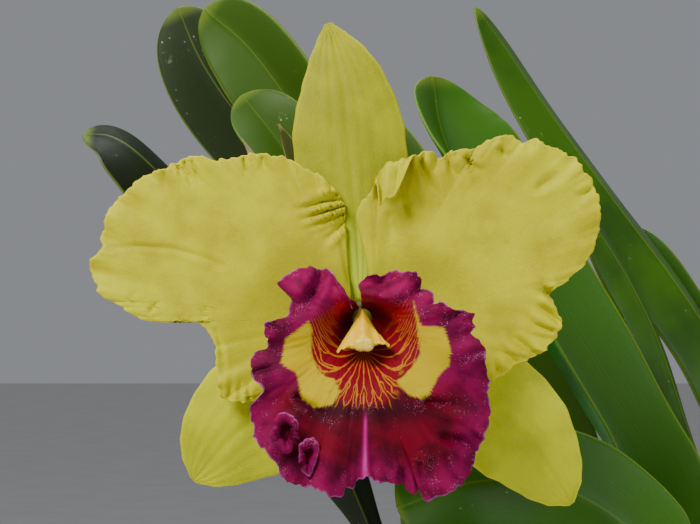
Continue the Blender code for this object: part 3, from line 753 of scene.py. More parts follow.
@dataclass(frozen=True)
class Terracotta(Finish):
    """Fired red clay: matt, with turning lines, and pale lime bloom where water has dried."""

    name: str = "terracotta"
    body: str = "#B3663F"
    dark: str = "#8E4B2C"
    lime: str = "#D3B9A2"

    def surface(self, add: Adder) -> Surface:
        """Fired clouds under lime, with turning lines and grit.

        Args:
            add: adds a node.

        Returns:
            The surface.
        """
        place = add(Kind.PLACE)
        lines = add(Kind.NOISE, add(Kind.STRETCH, place, (0.02, 0.02, 1)), per(1.4), 2.0, 0.5)
        cloud = add(Kind.NOISE, place, per(22.0), 5.0)
        bloomed = add(Kind.NOISE, place, per(30.0), 6.0, 0.65)
        layers = ((add(Kind.BAND, cloud, 0.35, 0.68), self.dark),
                  (add(Kind.BAND, bloomed, 0.54, 0.74, 0.0, 0.55), self.lime))
        reliefs = ((lines, 0.12), (add(Kind.NOISE, place, per(0.7), 4.0, 0.65), 0.12))
        return Surface(self.body, layers, reliefs, {"Roughness": 0.88})


@dataclass(frozen=True)
class Velamen(Finish):
    """The spongy silver-white coat of orchid roots, and the green-brown crust of the rhizome."""

    name: str = "velamen"
    silver: str = "#B5B39C"
    crust: str = "#6B6A42"

    def surface(self, add: Adder) -> Surface:
        """Silver with spots of crust, and crust alone where the mesh is tinted.

        Args:
            add: adds a node.

        Returns:
            The surface.
        """
        place = add(Kind.PLACE)
        spots = add(Kind.NOISE, place, per(2.5), 4.0)
        layers = ((add(Kind.BAND, spots, 0.4, 0.7), self.crust), ("tinted", self.crust))
        reliefs = ((add(Kind.NOISE, place, per(0.9), 4.0), 0.2),)
        return Surface(self.silver, layers, reliefs, {"Roughness": 0.8})


@dataclass(frozen=True)
class StudioPaper(Finish):
    """Plain matt paper: it scatters light evenly, without a shine."""

    name: str = "studio_paper"
    colour: str = "#D9D8D4"
    cloud: str = "#D4D3CF"

    def surface(self, add: Adder) -> Surface:
        """Barely clouded, and flat.

        Args:
            add: adds a node.

        Returns:
            The surface.
        """
        cloud = add(Kind.NOISE, add(Kind.PLACE), per(60.0), 2.0)
        return Surface(self.colour, ((add(Kind.BAND, cloud, 0.3, 0.7), self.cloud),), (), {"Roughness": 0.9})


# The plant's sub-assemblies

def joined(skins: Sequence[Skin], name: str) -> bpy.types.Object:
    """Several skins as one object.

    Args:
        skins: the skins, each with the same values.
        name: the object's name.

    Returns:
        The object, linked to the scene.
    """
    whole = bmesh.new()
    for skin in skins:
        part = skin.mesh(name)
        whole.from_mesh(part)
        bpy.data.meshes.remove(part)
    mesh = bpy.data.meshes.new(name)
    whole.to_mesh(mesh)
    whole.free()
    mesh.shade_smooth()
    made = bpy.data.objects.new(name, mesh)
    bpy.context.scene.collection.objects.link(made)
    return made


def placed(made: bpy.types.Object, finish: bpy.types.Material,
           nodes: Sequence[str] = ()) -> None:
    """Gives an object its finish and puts it on the body that it rides.

    Args:
        made: the object.
        finish: its material.
        nodes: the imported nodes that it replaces, or none where it stands beside them.
    """
    made.data.materials.clear()
    made.data.materials.append(finish)
    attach(made, BODY)
    if nodes:
        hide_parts(*nodes)
    LOG.info("%s: %d faces", made.name, len(made.data.polygons))


def dressed(skin: Skin, name: str, finish: bpy.types.Material, slot: str) -> None:
    """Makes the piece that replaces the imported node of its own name."""
    placed(skin.piece(name + "_skin"), finish, [name])


BLOOM = np.array((-90.0, -70.0, 310.0))


def on_bloom(a: Grid, b: Grid, c: Grid) -> Grid:
    """Points given in the bloom's own axes: a to the right, b up and c forward."""
    return np.stack([BLOOM[0] + a, BLOOM[1] - c, BLOOM[2] + b], -1)


@dataclass(frozen=True)
class Stroke:
    """A crease or a crest drawn over the bloom: its line in the bloom's axes, how wide it is and how
    far it lifts the tissue."""

    line: Rows
    width: float
    lift: float
    fades: bool = True      # whether it dies away towards its last point

    def over(self, a: Grid, b: Grid) -> Grid:
        """The lift at each point: a crease with soft shoulders, tapered along its line.

        Args:
            a: places to the right.
            b: places up.

        Returns:
            The lift.
        """
        away, share = line_place(a, b, self.line)
        held = 1 - rise(0.25, 1.0, share) if self.fades else 1 - 0.6 * np.abs(2 * share - 1) ** 3
        wide = self.width * (0.75 + 0.6 * share)
        profile = np.exp(-(away / wide) ** 2) - 0.32 * np.exp(-((away - 1.9 * wide) / (0.9 * wide)) ** 2)
        return self.lift * held * profile


def line_place(a: Grid, b: Grid, line: Rows) -> tuple[Grid, Grid]:
    """How far each point lies from a line through some points, and the share of the line it is at.

    Args:
        a: places to the right.
        b: places up.
        line: the line's points.

    Returns:
        The distances and the shares.
    """
    spots = np.stack([a, b], -1)
    nearest, share = np.full(a.shape, 1e9), np.zeros(a.shape)
    given = np.asarray(line, float)
    lengths = np.linalg.norm(np.diff(given, axis=0), axis=1)
    before = np.concatenate([[0.0], np.cumsum(lengths)])
    for k, (start, end) in enumerate(zip(given[:-1], given[1:])):
        run = end - start
        f = np.clip(((spots - start) @ run) / (run @ run), 0, 1)
        away = np.linalg.norm(spots - start - f[..., None] * run, axis=-1)
        share = np.where(away < nearest, (before[k] + f * lengths[k]) / before[-1], share)
        nearest = np.minimum(nearest, away)
    return nearest, share


def line_distance(a: Grid, b: Grid, line: Rows) -> Grid:
    """The distance from each point to a line through some points, in the bloom's plane."""
    return line_place(a, b, line)[0]


def inside(a: Grid, b: Grid, outline: Rows) -> Grid:
    """How deep each point lies in a closed outline: its distance to it, negative outside.

    Args:
        a: places to the right.
        b: places up.
        outline: the outline's points.

    Returns:
        The depths.
    """
    ring = np.asarray([*outline, outline[0]], float)
    hit = np.zeros(a.shape, bool)
    for (x0, y0), (x1, y1) in zip(ring[:-1], ring[1:]):
        if y0 == y1:
            continue
        crosses = ((b < y0) != (b < y1)) & (a < x0 + (b - y0) * (x1 - x0) / (y1 - y0))
        hit ^= crosses
    return np.where(hit, 1.0, -1.0) * line_distance(a, b, ring)


@dataclass(frozen=True)
class Ruffle:
    """A packet of waves along a margin: where it is centred and how far it spreads, as shares of the
    margin, its waves over the whole margin, their height and how steeply they die away inward."""

    at: float
    spread: float
    waves: float
    height: float
    power: float = 5.0

    def over(self, v: Grid, s: Grid) -> Grid:
        """The height at each point, for v along the margin and s outward to it."""
        packet = self.height * bump(v, self.at, self.spread)
        return packet * np.sin(math.tau * self.waves * v) * s ** self.power


@dataclass(frozen=True)
class Roll:
    """A margin that rolls over: the share of the margin it runs over, with the eased length at both
    ends, its turn in degrees (forward if positive), its radius and the flap beyond it."""

    start: float
    end: float
    ease: float
    turn: float
    radius: float
    flap: float

    def share(self, v: Grid) -> Grid:
        """How fully the margin rolls there, from 0 to 1."""
        return rise(self.start, self.start + self.ease, v) * (1 - rise(self.end - self.ease, self.end, v))


@dataclass
class Petal:
    """A broad petal laid on straight lines from its claw to its outline, crowned and ruffled."""

    name: str
    outline: Rows
    centre: tuple[float, float]
    hand: int
    ruffles: Sequence[Ruffle] = ()
    rolls: Sequence[Roll] = ()
    strokes: Sequence[Stroke] = ()
    rows: int = 70
    columns: int = 290
    thickness: float = 0.9
    claw_radius: float = 5.1
    claw_span: tuple[float, float] = (52.0, 74.0)   # the claw's first angle, and how far it runs down
    hollow: float = 0.5     # how far the inner edge bows away from the bloom's middle
    tuck: float = 1.6       # how far the inner edge lies back
    notch: float = 0.76     # where the margin runs in between the two lobes, and lies flat
    margin: float = 235.0   # the margin's length
    full: float = 70.0      # the reach that the crown is drawn for
    ruffled: float = 58.0   # how far in from the margin the ruffles reach
    turning: float = 3.0    # the radius and the flap that a roll starts from
    seed: int = 3

    def rim(self, v: Grid) -> Grid:
        """The margin's points, in the bloom's plane.

        Args:
            v: shares of the margin.

        Returns:
            The points.
        """
        angle, radius = np.array(self.outline, float).T
        angle = np.radians(angle)
        points = self.centre + radius[:, None] * np.stack([np.cos(angle), np.sin(angle)], -1)
        return along(points, v)

    def skin(self) -> Skin:
        """The petal's grid from claw to margin, thickened.

        Returns:
            The petal.
        """
        u, v = lattice(self.rows, self.columns)
        rim = self.rim(v)
        perch = np.radians(self.claw_span[0] - self.claw_span[1] * v)
        claw = np.stack([self.hand * self.claw_radius * np.cos(perch), self.claw_radius * np.sin(perch)], -1)
        reach = np.linalg.norm(rim - claw, axis=-1)
        outward = unit(rim - claw)
        margin = v * self.margin
        reach = reach + 0.55 * wander(margin, 2.3, self.seed) + 0.35 * wander(margin, 1.1, self.seed + 1)
        # the path from the claw to the rolled edge
        turn, radius, flap = 0 * v, self.turning + 0 * v, self.turning + 0 * v
        for roll in self.rolls:
            held = roll.share(v)
            turn += held * math.radians(roll.turn)
            radius += held * (roll.radius - self.turning)
            flap += held ** 3 * (roll.flap - self.turning)
        peak = np.minimum(np.abs(turn), math.pi / 2)
        start = reach - radius * np.sin(peak) - flap * np.clip(np.cos(turn), 0, 1)
        arc = radius * np.abs(turn)
        total = start + arc + flap
        run = u ** 0.85 * total
        bend = np.clip((run - start) / radius, 0, np.abs(turn))
        over = np.clip(run - start - arc, 0, None)
        out = np.minimum(run, start) + radius * np.sin(bend) + over * np.cos(bend)
        lift = np.sign(turn) * (radius * (1 - np.cos(bend)) + over * np.sin(bend))
        spot = claw + outward * out[..., None]
        share_out, far = np.clip(out / reach, 0, 1), out / self.full
        s = np.clip(1 - (reach - out) / self.ruffled, 0, 1)
        inner = 1 - rise(0.0, 0.10, v)
        a = spot[..., 0] + self.hand * self.hollow * np.sin(math.pi * share_out) * inner
        b = spot[..., 1]
        c = 1.6 + 5.2 * far - 2.6 * far * far + lift
        c = c - self.tuck * (1 - rise(0.0, 0.08, v)) * rise(0.1, 0.3, share_out)
        loose = 1 - 0.95 * bump(v, self.notch, 0.075)
        for ruffle in self.ruffles:
            c = c + ruffle.over(v, s) * loose
        frill = 0.5 * wander(margin, 3.6, self.seed + 2) * s ** 9
        frill = frill + 0.3 * wander(margin, 1.7, self.seed + 3) * s ** 14
        c = c + frill * loose
        c = c + 0.35 * wander_two(a, b, 11.0, self.seed + 4) * rise(0.1, 0.4, far)
        c = c + 0.08 * wander_two(v * 60, s * 2.2, 1.0, self.seed + 5) * rise(0.4, 0.9, s)
        for stroke in self.strokes:
            c = c + stroke.over(a, b) * rise(0.1, 0.3, far)
        sheet = Skin(on_bloom(a, b, c), values={"inset": total - run, "reach": run / total, "fan": v + 0 * u})
        half = 0.5 * self.thickness * (0.35 + 0.65 * rise(0.0, 4.0, total - run))
        return sheet.thickened(half)


@dataclass
class Sepal:
    """A plain sepal: a lance-shaped blade with a groove down its middle, its tip falling back."""

    name: str
    spine: Rows
    half_width: float
    fall: float
    rows: int = 90
    columns: int = 48
    thickness: float = 1.0
    seed: int = 21
    profile: Rows = ((0.0, 0.20), (0.12, 0.42), (0.28, 0.76), (0.46, 0.99), (0.59, 0.97), (0.70, 0.86),
                     (0.79, 0.73), (0.88, 0.51), (0.95, 0.27), (1.0, 0.06))

    def skin(self) -> Skin:
        """The sepal's grid from claw to tip, thickened.

        Returns:
            The sepal.
        """
        u, v = lattice(self.rows, self.columns)
        t = np.sin(u * math.pi / 2)
        side = v * 2 - 1
        ahead = heading(self.spine, t)
        across = np.stack([ahead[..., 1], -ahead[..., 0]], -1)
        width = self.half_width * np.interp(t, *zip(*self.profile))
        width = self.half_width * eased(self.profile, t) * 0.3 + width * 0.7
        width = width + 0.35 * wander(t * 90, 7.0, self.seed) * np.sin(math.pi * t)
        point = along(self.spine, t) + across * (side * width)[..., None]
        crown = 1.4 * np.sin(math.pi * t) * (1 - 1.9 * side ** 2) - 0.5 * (1 - side ** 2) * t
        groove = -0.55 * bump(side, 0.0, 0.07) * rise(0.0, 0.2, t) * (1 - 0.6 * t)
        ribs = 0.10 * np.sin(side * 26 + 0.6 * wander(t * 90, 15.0, self.seed + 1)) * (1 - side ** 2)
        swell = 0.5 * wander_two(point[..., 0], point[..., 1], 12.0, self.seed + 2) * np.sin(math.pi * t)
        c = crown + groove + ribs + swell - 1.2 - self.fall * t ** 3
        inset = width * (1 - np.abs(side)) + 0 * c
        sheet = Skin(on_bloom(point[..., 0], point[..., 1], c),
                     values={"inset": inset, "reach": t, "fan": 0.5 + 0.15 * side})
        return sheet.thickened(0.5 * self.thickness * (0.4 + 0.6 * rise(0.0, 2.5, inset)))


def three_way(turn: Grid, side: Grid, below: Grid, above: Grid) -> Grid:
    """A value round the lip: below at 0, side at a quarter turn each way and above at a half turn."""
    lean = np.cos(turn)
    return side + (np.where(lean > 0, below, above) - side) * lean ** 2


@dataclass
class Lip:
    """The lip: a tube round the column that opens into a frilled trumpet."""

    rim: Rows
    eyes: Sequence[Rows]
    strokes: Sequence[Stroke]
    rings: Rows
    throat: Rows
    rows: int = 96
    columns: int = 400
    thickness: float = 0.8
    waves: int = 13
    depth: float = 3.0
    margin: float = 330.0                       # the rim's length
    heart: tuple[float, float] = (0.7, -8.6)    # where the rim's angles are drawn from
    pole: tuple[float, float] = (0.9, -9.5)     # the trumpet's middle
    root: tuple[float, float] = (0.4, -9.4)     # where the veins part
    step: float = 13.0                          # degrees between two main veins
    fork: float = 9.5                           # how far from their root they fork
    soft_edge: float = 3.4                      # how wide the eyes' soft edge is
    frosted: float = 6.0                        # how far in from the rim the frost reaches
    seed: int = 41

    def skin(self) -> Skin:
        """The lip's grid from its tube to its rim, thickened.

        Returns:
            The lip without its curls.
        """
        u, v = lattice(self.rows, self.columns)
        s = u ** 0.9
        angle, radius = np.array(self.rim, float).T
        angle = np.radians(angle)
        drawn = self.heart + radius[:, None] * np.stack([np.sin(angle), -np.cos(angle)], -1)
        margin = v[0] * self.margin
        edge = along(drawn, v[0])
        side, high = edge[:, 0] - self.pole[0], edge[:, 1] - self.pole[1]
        turn = np.unwrap(np.arctan2(side, -high))
        size = 2 * (self.columns // 40) + 1
        soft = np.convolve(np.pad(turn, size // 2, mode="edge"), np.ones(size) / size, mode="valid")
        turn = soft[None, :] + 0 * u
        ring = [flowing([(row[0], row[k]) for row in self.rings], s) for k in range(1, 8)]
        wide = three_way(turn, ring[1], ring[2], ring[3])
        c = three_way(turn, ring[4], ring[5], ring[6])
        flare = np.clip(s - 0.5, 0, None) / 0.5
        rim_wide = three_way(turn, *self.rings[-1][2:5])
        real = np.hypot(side, high)[None, :]
        wide = wide * (1 + (real / rim_wide - 1) * flare ** 1.5)
        a = wide * np.sin(turn) + self.pole[0] * s
        b = ring[0] - wide * np.cos(turn)
        a = a + (edge[None, :, 0] - a[-1:]) * flare ** 3
        b = b + (edge[None, :, 1] - b[-1:]) * flare ** 3
        c = c + self.depth * np.sin(self.waves * turn + 0.8 * np.sin(2 * turn)) * flare ** 2.5
        c = c - 1.2 * bump(np.degrees(turn), 0.0, 5.0) * flare
        for stroke in self.strokes:
            c = c + stroke.over(a, b) * rise(0.35, 0.6, s)
        margin = margin + 0 * u
        fine = 0.9 * wander(margin, 3.4, self.seed) + 0.55 * wander(margin, 1.6, self.seed + 1)
        c = c + fine * flare ** 9
        push = 0.6 * wander(margin, 2.4, self.seed + 2) + 0.4 * wander(margin, 1.2, self.seed + 3)
        push = push * flare ** 12
        a = a + push * np.sin(turn)
        b = b - push * np.cos(turn)
        c = c + 0.22 * wander_two(margin / 3.0, s * 7, 1.0, self.seed + 4) * rise(0.3, 0.6, s)
        sheet = Skin(on_bloom(a, b, c), values=self.marks(a, b, s, v))
        inset = sheet.values["inset"]
        return sheet.thickened(0.5 * self.thickness * (0.4 + 0.6 * rise(0.0, 3.0, inset)))

    def marks(self, a: Grid, b: Grid, s: Grid, v: Grid) -> dict[str, Grid]:
        """The values that its finish reads: how far each point lies from the rim, from the eyes, from
        the keel and from the throat, and the veins' own phase.

        Args:
            a: places to the right.
            b: places up.
            s: shares from the tube to the rim.
            v: shares along the rim.

        Returns:
            The values by name.
        """
        reach = np.hypot(a - a[:1], b - b[:1])
        inset = np.clip(reach[-1:] - reach, 0, None)
        deep = np.max([inside(a, b, eye) for eye in self.eyes], axis=0)
        throat = rise(-2.0, 1.2, inside(a, b, self.throat))
        keel = bump(a, self.pole[0], 0.45 + 0.45 * rise(-28, -42, b)) * rise(-25.0, -30.0, b)
        # gloom: the dark band below the throat, with painted shade added deep inside the tube
        gloom = bump(b, -25.5, 4.2) * (1 - rise(12.0, 24.0, np.abs(a))) * (1 - throat)
        gloom = np.clip(gloom + 0.3 * (1 - rise(0.08, 0.26, s)), 0, 1)
        # painted light for the hollows under the brow, which the column and the lobes shade
        cavity = np.max([bump(line_distance(a, b, line), 0.0, 2.6) for line in LIP_HOLLOWS], axis=0)
        middle = rise(3.0, 13.0, inset) * rise(-14.0, -24.0, b)
        side, down = np.abs(a - self.root[0]), self.root[1] - b
        angle = np.degrees(np.arctan2(side, down + 14.0 * (side / 15.0) ** 4))
        away = np.hypot(side, down)
        seen = rise(0.14, 0.26, s) * (1 - rise(70.0, 130.0, angle) * 0.75) * (1 - 0.8 * cavity)
        below = 0.9 * gloom * rise(-26.0, -23.0, b) * (1 - rise(7.0, 11.0, side))
        # crease: nearness to a crease, for painted shade along it and glints on it
        crease = np.max([bump(line_distance(a, b, stroke.line), 0.0, 1.8) for stroke in self.strokes], axis=0)
        flush = np.clip(rise(-4.0, 8.0, b) + rise(-40.0, -48.0, b), 0, 1) * (1 - rise(6.0, 16.0, inset))
        return {"inset": inset, "fan": v + 0 * s, "eye": np.clip(0.5 + deep / self.soft_edge, 0, 1),
                "throat": throat, "gloom": gloom, "cavity": 0.9 * cavity,
                # a painted highlight down the keel
                "keel": keel * 0.9, "keel_core": 0.4 * bump(b, -40.5, 4.0) * bump(a, self.pole[0], 0.3),
                "veined": np.clip(throat + below, 0, 1) * seen,
                "vein": (angle - 0.3 * np.clip(angle - 50, 0, None)) / self.step,
                "fork": (away - self.fork) * 0.075, "middle": middle, "flush": 0.35 * flush,
                "vein_width": np.clip(0.62 / np.maximum(away, 1.0), 0.028, 0.12),
                "crease": crease * (1 - throat),
                "frost": np.clip(0.9 - rise(0.0, self.frosted, inset) + crease
                                 + 0.8 * bump(b, -25.0, 2.5), 0, 1)}

    def scroll(self, centre: tuple[float, float, float], size: float, tall: float, start: float,
               seed: int) -> Skin:
        """A curl of the margin that stands up from the lip's face as a frilled ring.

        Args:
            centre: its middle, in the bloom's axes.
            size: its radius.
            tall: how much taller than wide it is.
            start: where it opens, in radians.
            seed: its own frill.

        Returns:
            The curl, thickened.
        """
        u, v = lattice(22, 96)
        turn = start + v * math.tau * 0.93
        frill = 0.16 * wander(v * 11, 1.0, seed) + 0.05 * wander(v * 40, 1.0, seed + 1)
        flare = 0.50 - 0.10 * np.sin(math.pi * u) + 0.50 * u ** 1.8 + frill * u
        radius = size * flare * (1 + 0.16 * np.sin(2 * turn + seed) + 0.12 * v)
        a = centre[0] + radius * np.sin(turn) + 0.25 * (tall - 1) * size * np.cos(2.2 * turn)
        b = centre[1] - tall * radius * np.cos(turn)
        c = centre[2] + size * (-1.2 + 2.3 * u - 0.9 * u ** 4) + 0.4 * wander(v * 30, 1.0, seed + 2) * u
        plain = ("eye", "throat", "keel", "keel_core", "cavity", "veined", "vein", "fork", "vein_width",
                 "middle", "crease", "flush")
        marks = {key: 0 * u for key in plain}
        # gloom here is painted shade at the curl's foot
        marks.update({"inset": (1 - u) * size * 1.5, "fan": v, "frost": 0.35 + 0.65 * u,
                      "gloom": 0.8 * (1 - rise(0.0, 0.6, u))})
        return Skin(on_bloom(a, b, c), values=marks).thickened(0.35)


@dataclass
class Column:
    """The column: a waxy tent over the lip's throat that widens into two scalloped wings."""

    length: float = 25.0
    foot: float = 2.3
    tilt: float = 0.12
    rows: int = 80
    sides: int = 96
    crest: Rows = ((0.0, 2.5), (0.25, 2.6), (0.5, 2.5), (0.75, 0.2), (1.0, -4.9))
    wing: Rows = ((0.0, -0.2), (0.25, -1.6), (0.5, -3.8), (0.75, -6.2), (1.0, -8.2))
    half_width: Rows = ((0.0, 2.3), (0.25, 2.6), (0.5, 3.9), (0.75, 6.0), (1.0, 7.7))
    cap_spot: tuple[float, float, float] = (0.4, -7.1, 24.4)
    cap_half: tuple[float, float, float] = (2.85, 2.0, 2.1)
    cap_power: float = 0.72     # how boxy it is: 1 is an egg

    def skin(self) -> Skin:
        """The tent, closed at both ends, its underside hollowed towards the front.

        Returns:
            The column.
        """
        t, turn = lattice(self.rows, self.sides, around=True)
        turn = turn * math.tau
        across, up = np.cos(turn), np.sin(turn)
        away = np.abs(across)
        crest, wing = eased(self.crest, t), eased(self.wing, t)
        front = rise(0.55, 1.0, t)
        scallop = 0.5 * np.sin(9.5 * away * self.half_width[-1][1] * 0.42 + 1.0)
        scallop = scallop * front * rise(0.45, 0.9, away)
        roof = crest + (wing - crest) * away ** 1.35
        ridge = 0.8 * bump(across, 0.0, 0.2) * front - 0.5 * bump(away, 0.38, 0.16) * front
        thick = 2 * self.foot * (1 - rise(0.0, 0.35, t)) + 2.6 * rise(0.0, 0.35, t) * (1 - 0.45 * front)
        thick = (thick + 2.2 * front * bump(across, 0.0, 0.42)) * (1 - away ** 4)
        under = np.clip(-up, 0, 1) ** 0.6 * thick
        close = np.clip((t - 0.95) / 0.05, 0, 1) ** 2
        a = eased(self.half_width, t) * across * (1 - 0.02 * close) + 0.2 * t
        b = roof + ridge - under * (1 - 0.4 * close) - 0.5 * close * (up > 0) - self.tilt * -a * front
        lobes = scallop + 1.3 * away ** 2 - 1.1 * bump(away, 0.45, 0.2)
        c = -2.0 + self.length * t + lobes * rise(0.7, 1.0, t)
        b = b + 0.7 * scallop * away
        # painted shade: the foot, deep in the lip's tube, and the underside darken towards the tint
        foot_shade = 0.75 * (1 - rise(0.1, 0.45, t)) + 0.12 * (up < -0.4)
        return Skin(on_bloom(a, b, c), around=True, capped=True,
                    values={"turn": turn / math.tau, "place": t, "tinted": foot_shade})

    def cap(self) -> Skin:
        """The anther cap under the tent's end: a rounded box with a groove down its middle.

        Returns:
            The cap.
        """
        t, turn = lattice(30, 44, around=True)
        turn = turn * math.tau
        lean = math.pi * (0.02 + 0.96 * t)
        wide = boxed(np.sin(lean), self.cap_power)
        x, z = wide * boxed(np.cos(turn), self.cap_power), wide * boxed(np.sin(turn), self.cap_power)
        y = -boxed(np.cos(lean), self.cap_power)
        groove = 1 - 0.10 * bump(x, 0.0, 0.2) * (z < 0.5)
        a, b, c = (spot + half * share for spot, half, share in zip(
            self.cap_spot, self.cap_half, (x, z * groove, y * groove)))
        return Skin(on_bloom(a, b, c), around=True, capped=True,
                    values={"turn": turn / math.tau, "place": t, "tinted": 0 * t})


BULB_BASE = 111.0 + 4.4 + 0.4      # just over the rhizome: its height, its radius and a gap
# each bulb's place on the rhizome, its top, its greatest radius and the radius of its top
BULBS = {
    "pseudobulb_a": ((-14, 30), (-36, 32, 230), 12.0, 7.5),
    "pseudobulb_b": ((-38, -20), (-70, -16, 256), 13.5, 9.5),
    "pseudobulb_c": ((-50, 14), (-80, 20, 218), 11.5, 6.5),
    "pseudobulb_d": ((10, 46), (0, 50, 222), 12.0, 6.5),
    "pseudobulb_e": ((47, -2), (41, 5, 194), 12.5, 7.5),
    "pseudobulb_f": ((48, 34), (64, 37, 214), 12.0, 7.5),
    "pseudobulb_g": ((8, -32), (14, -29, 206), 11.5, 6.5),
    "backbulb": ((20, 10), (23, 13, 178), 10.0, 3.0),
}


def bulb_spine(name: str) -> Grid:
    """A pseudobulb's axis: up from the rhizome, then leaning to its top.

    Args:
        name: which pseudobulb.

    Returns:
        The axis's points.
    """
    (x, y), top, *_ = BULBS[name]
    base, top = np.array((x, y, BULB_BASE), float), np.array(top, float)
    up = np.array((0, 0, (top[2] - base[2]) / 4))
    lean = unit(top - base) * up[2]
    return np.array([base, base + up, base + (top - base) * 0.55 + up * 0.15, top - lean, top])


@dataclass
class Pseudobulb:
    """A swollen stem: narrow at its foot, club-shaped above, furrowed, with rings where its bracts
    were and their papery remains round its foot."""

    name: str
    rows: int = 110
    sides: int = 64
    ribs: int = 6
    rings: Sequence[float] = (0.13, 0.30, 0.52, 0.76)
    bract_grid: tuple[int, int] = (30, 52)
    seed: int = 60

    def profile(self, t: Grid) -> Grid:
        """The radius at each place."""
        _, _, greatest, top = BULBS[self.name]
        return eased(((0.0, 5.2), (0.12, 6.4), (0.35, greatest * 0.86), (0.62, greatest),
                      (0.84, greatest * 0.82 + top * 0.12), (1.0, top)), t)

    def shape(self, t: Grid, turn: Grid) -> Grid:
        """The share of the radius that furrows and rings leave.

        Args:
            t: places along it.
            turn: angles round it.

        Returns:
            The share.
        """
        wrinkle = 0.02 * np.cos(3 * self.ribs * turn + 2 * wander(t * 8, 1.0, self.seed))
        furrow = 0.5 + 0.5 * np.cos(self.ribs * turn + 0.5 * wander(t * 5, 1.0, self.seed + 1))
        share = 1 - 0.08 * furrow ** 0.7 * rise(0.0, 0.2, t) - wrinkle * rise(0.05, 0.3, t)
        for ring in self.rings:
            slant = t - ring - 0.012 * np.sin(turn + ring * 40)
            share = share - 0.05 * bump(slant, 0.0, 0.008) + 0.03 * bump(slant, -0.014, 0.008)
        return share * np.sqrt(np.clip(1 - np.clip((t - 0.965) / 0.036, 0, 1) ** 2, 0.12, 1))

    def skin(self) -> Skin:
        """The bulb itself.

        Returns:
            The bulb.
        """
        skin = loft(bulb_spine(self.name), self.profile, self.rows, self.sides, (1, 0, 0), self.shape)
        t = skin.values["place"]
        marks = sum(bump(t, ring, 0.012) for ring in self.rings)
        skin.values["turn"] = skin.values["turn"] / math.tau
        skin.values["tinted"] = np.clip(0.5 * marks + 0.3 * (1 - rise(0.0, 0.25, t)), 0, 0.8)
        return skin

    def bract(self, start: float, end: float, turn: float) -> Skin:
        """A papery bract that wraps the bulb from start to end, split and frayed at its top.

        Args:
            start: its foot, as a share of the bulb's length.
            end: its top, the same way.
            turn: where it overlaps itself, in radians.

        Returns:
            The bract, thickened.
        """
        u, v = lattice(*self.bract_grid)
        fray = 0.05 * wander(v * 22, 1.0, self.seed + 5) + 0.03 * wander(v * 60, 1.0, self.seed + 6)
        top = end - (end - start) * 0.65 * (1 - np.sin(v * math.pi) ** 0.6) + fray
        t = start + (top - start) * u
        round_it = turn + v * math.tau * 1.04
        spine = bulb_spine(self.name)
        ahead = heading(spine, t)
        side = np.array((1.0, 0, 0))
        across = unit(side - ahead * (ahead @ side)[..., None])
        up = np.cross(ahead, across)
        reach = self.profile(t) * self.shape(t, round_it) + 0.5 + 0.9 * v + 1.6 * rise(0.6, 1.0, u) * np.sin(
            v * math.pi) + 0.25 * wander(v * 30, 1.0, self.seed + 7) * u
        point = along(spine, t) + (across * np.cos(round_it)[..., None] + up * np.sin(round_it)[..., None]
                                   ) * reach[..., None]
        return Skin(point, values={"side": v, "place": u}).thickened(0.15)


class Tip(Enum):
    """How a blade's tip closes: where it starts and the two powers of its curve."""

    ROUND = (0.80, 2.6, 0.5)
    KEEN = (0.45, 1.9, 0.56)
    SHARP = (0.62, 1.6, 1.0)


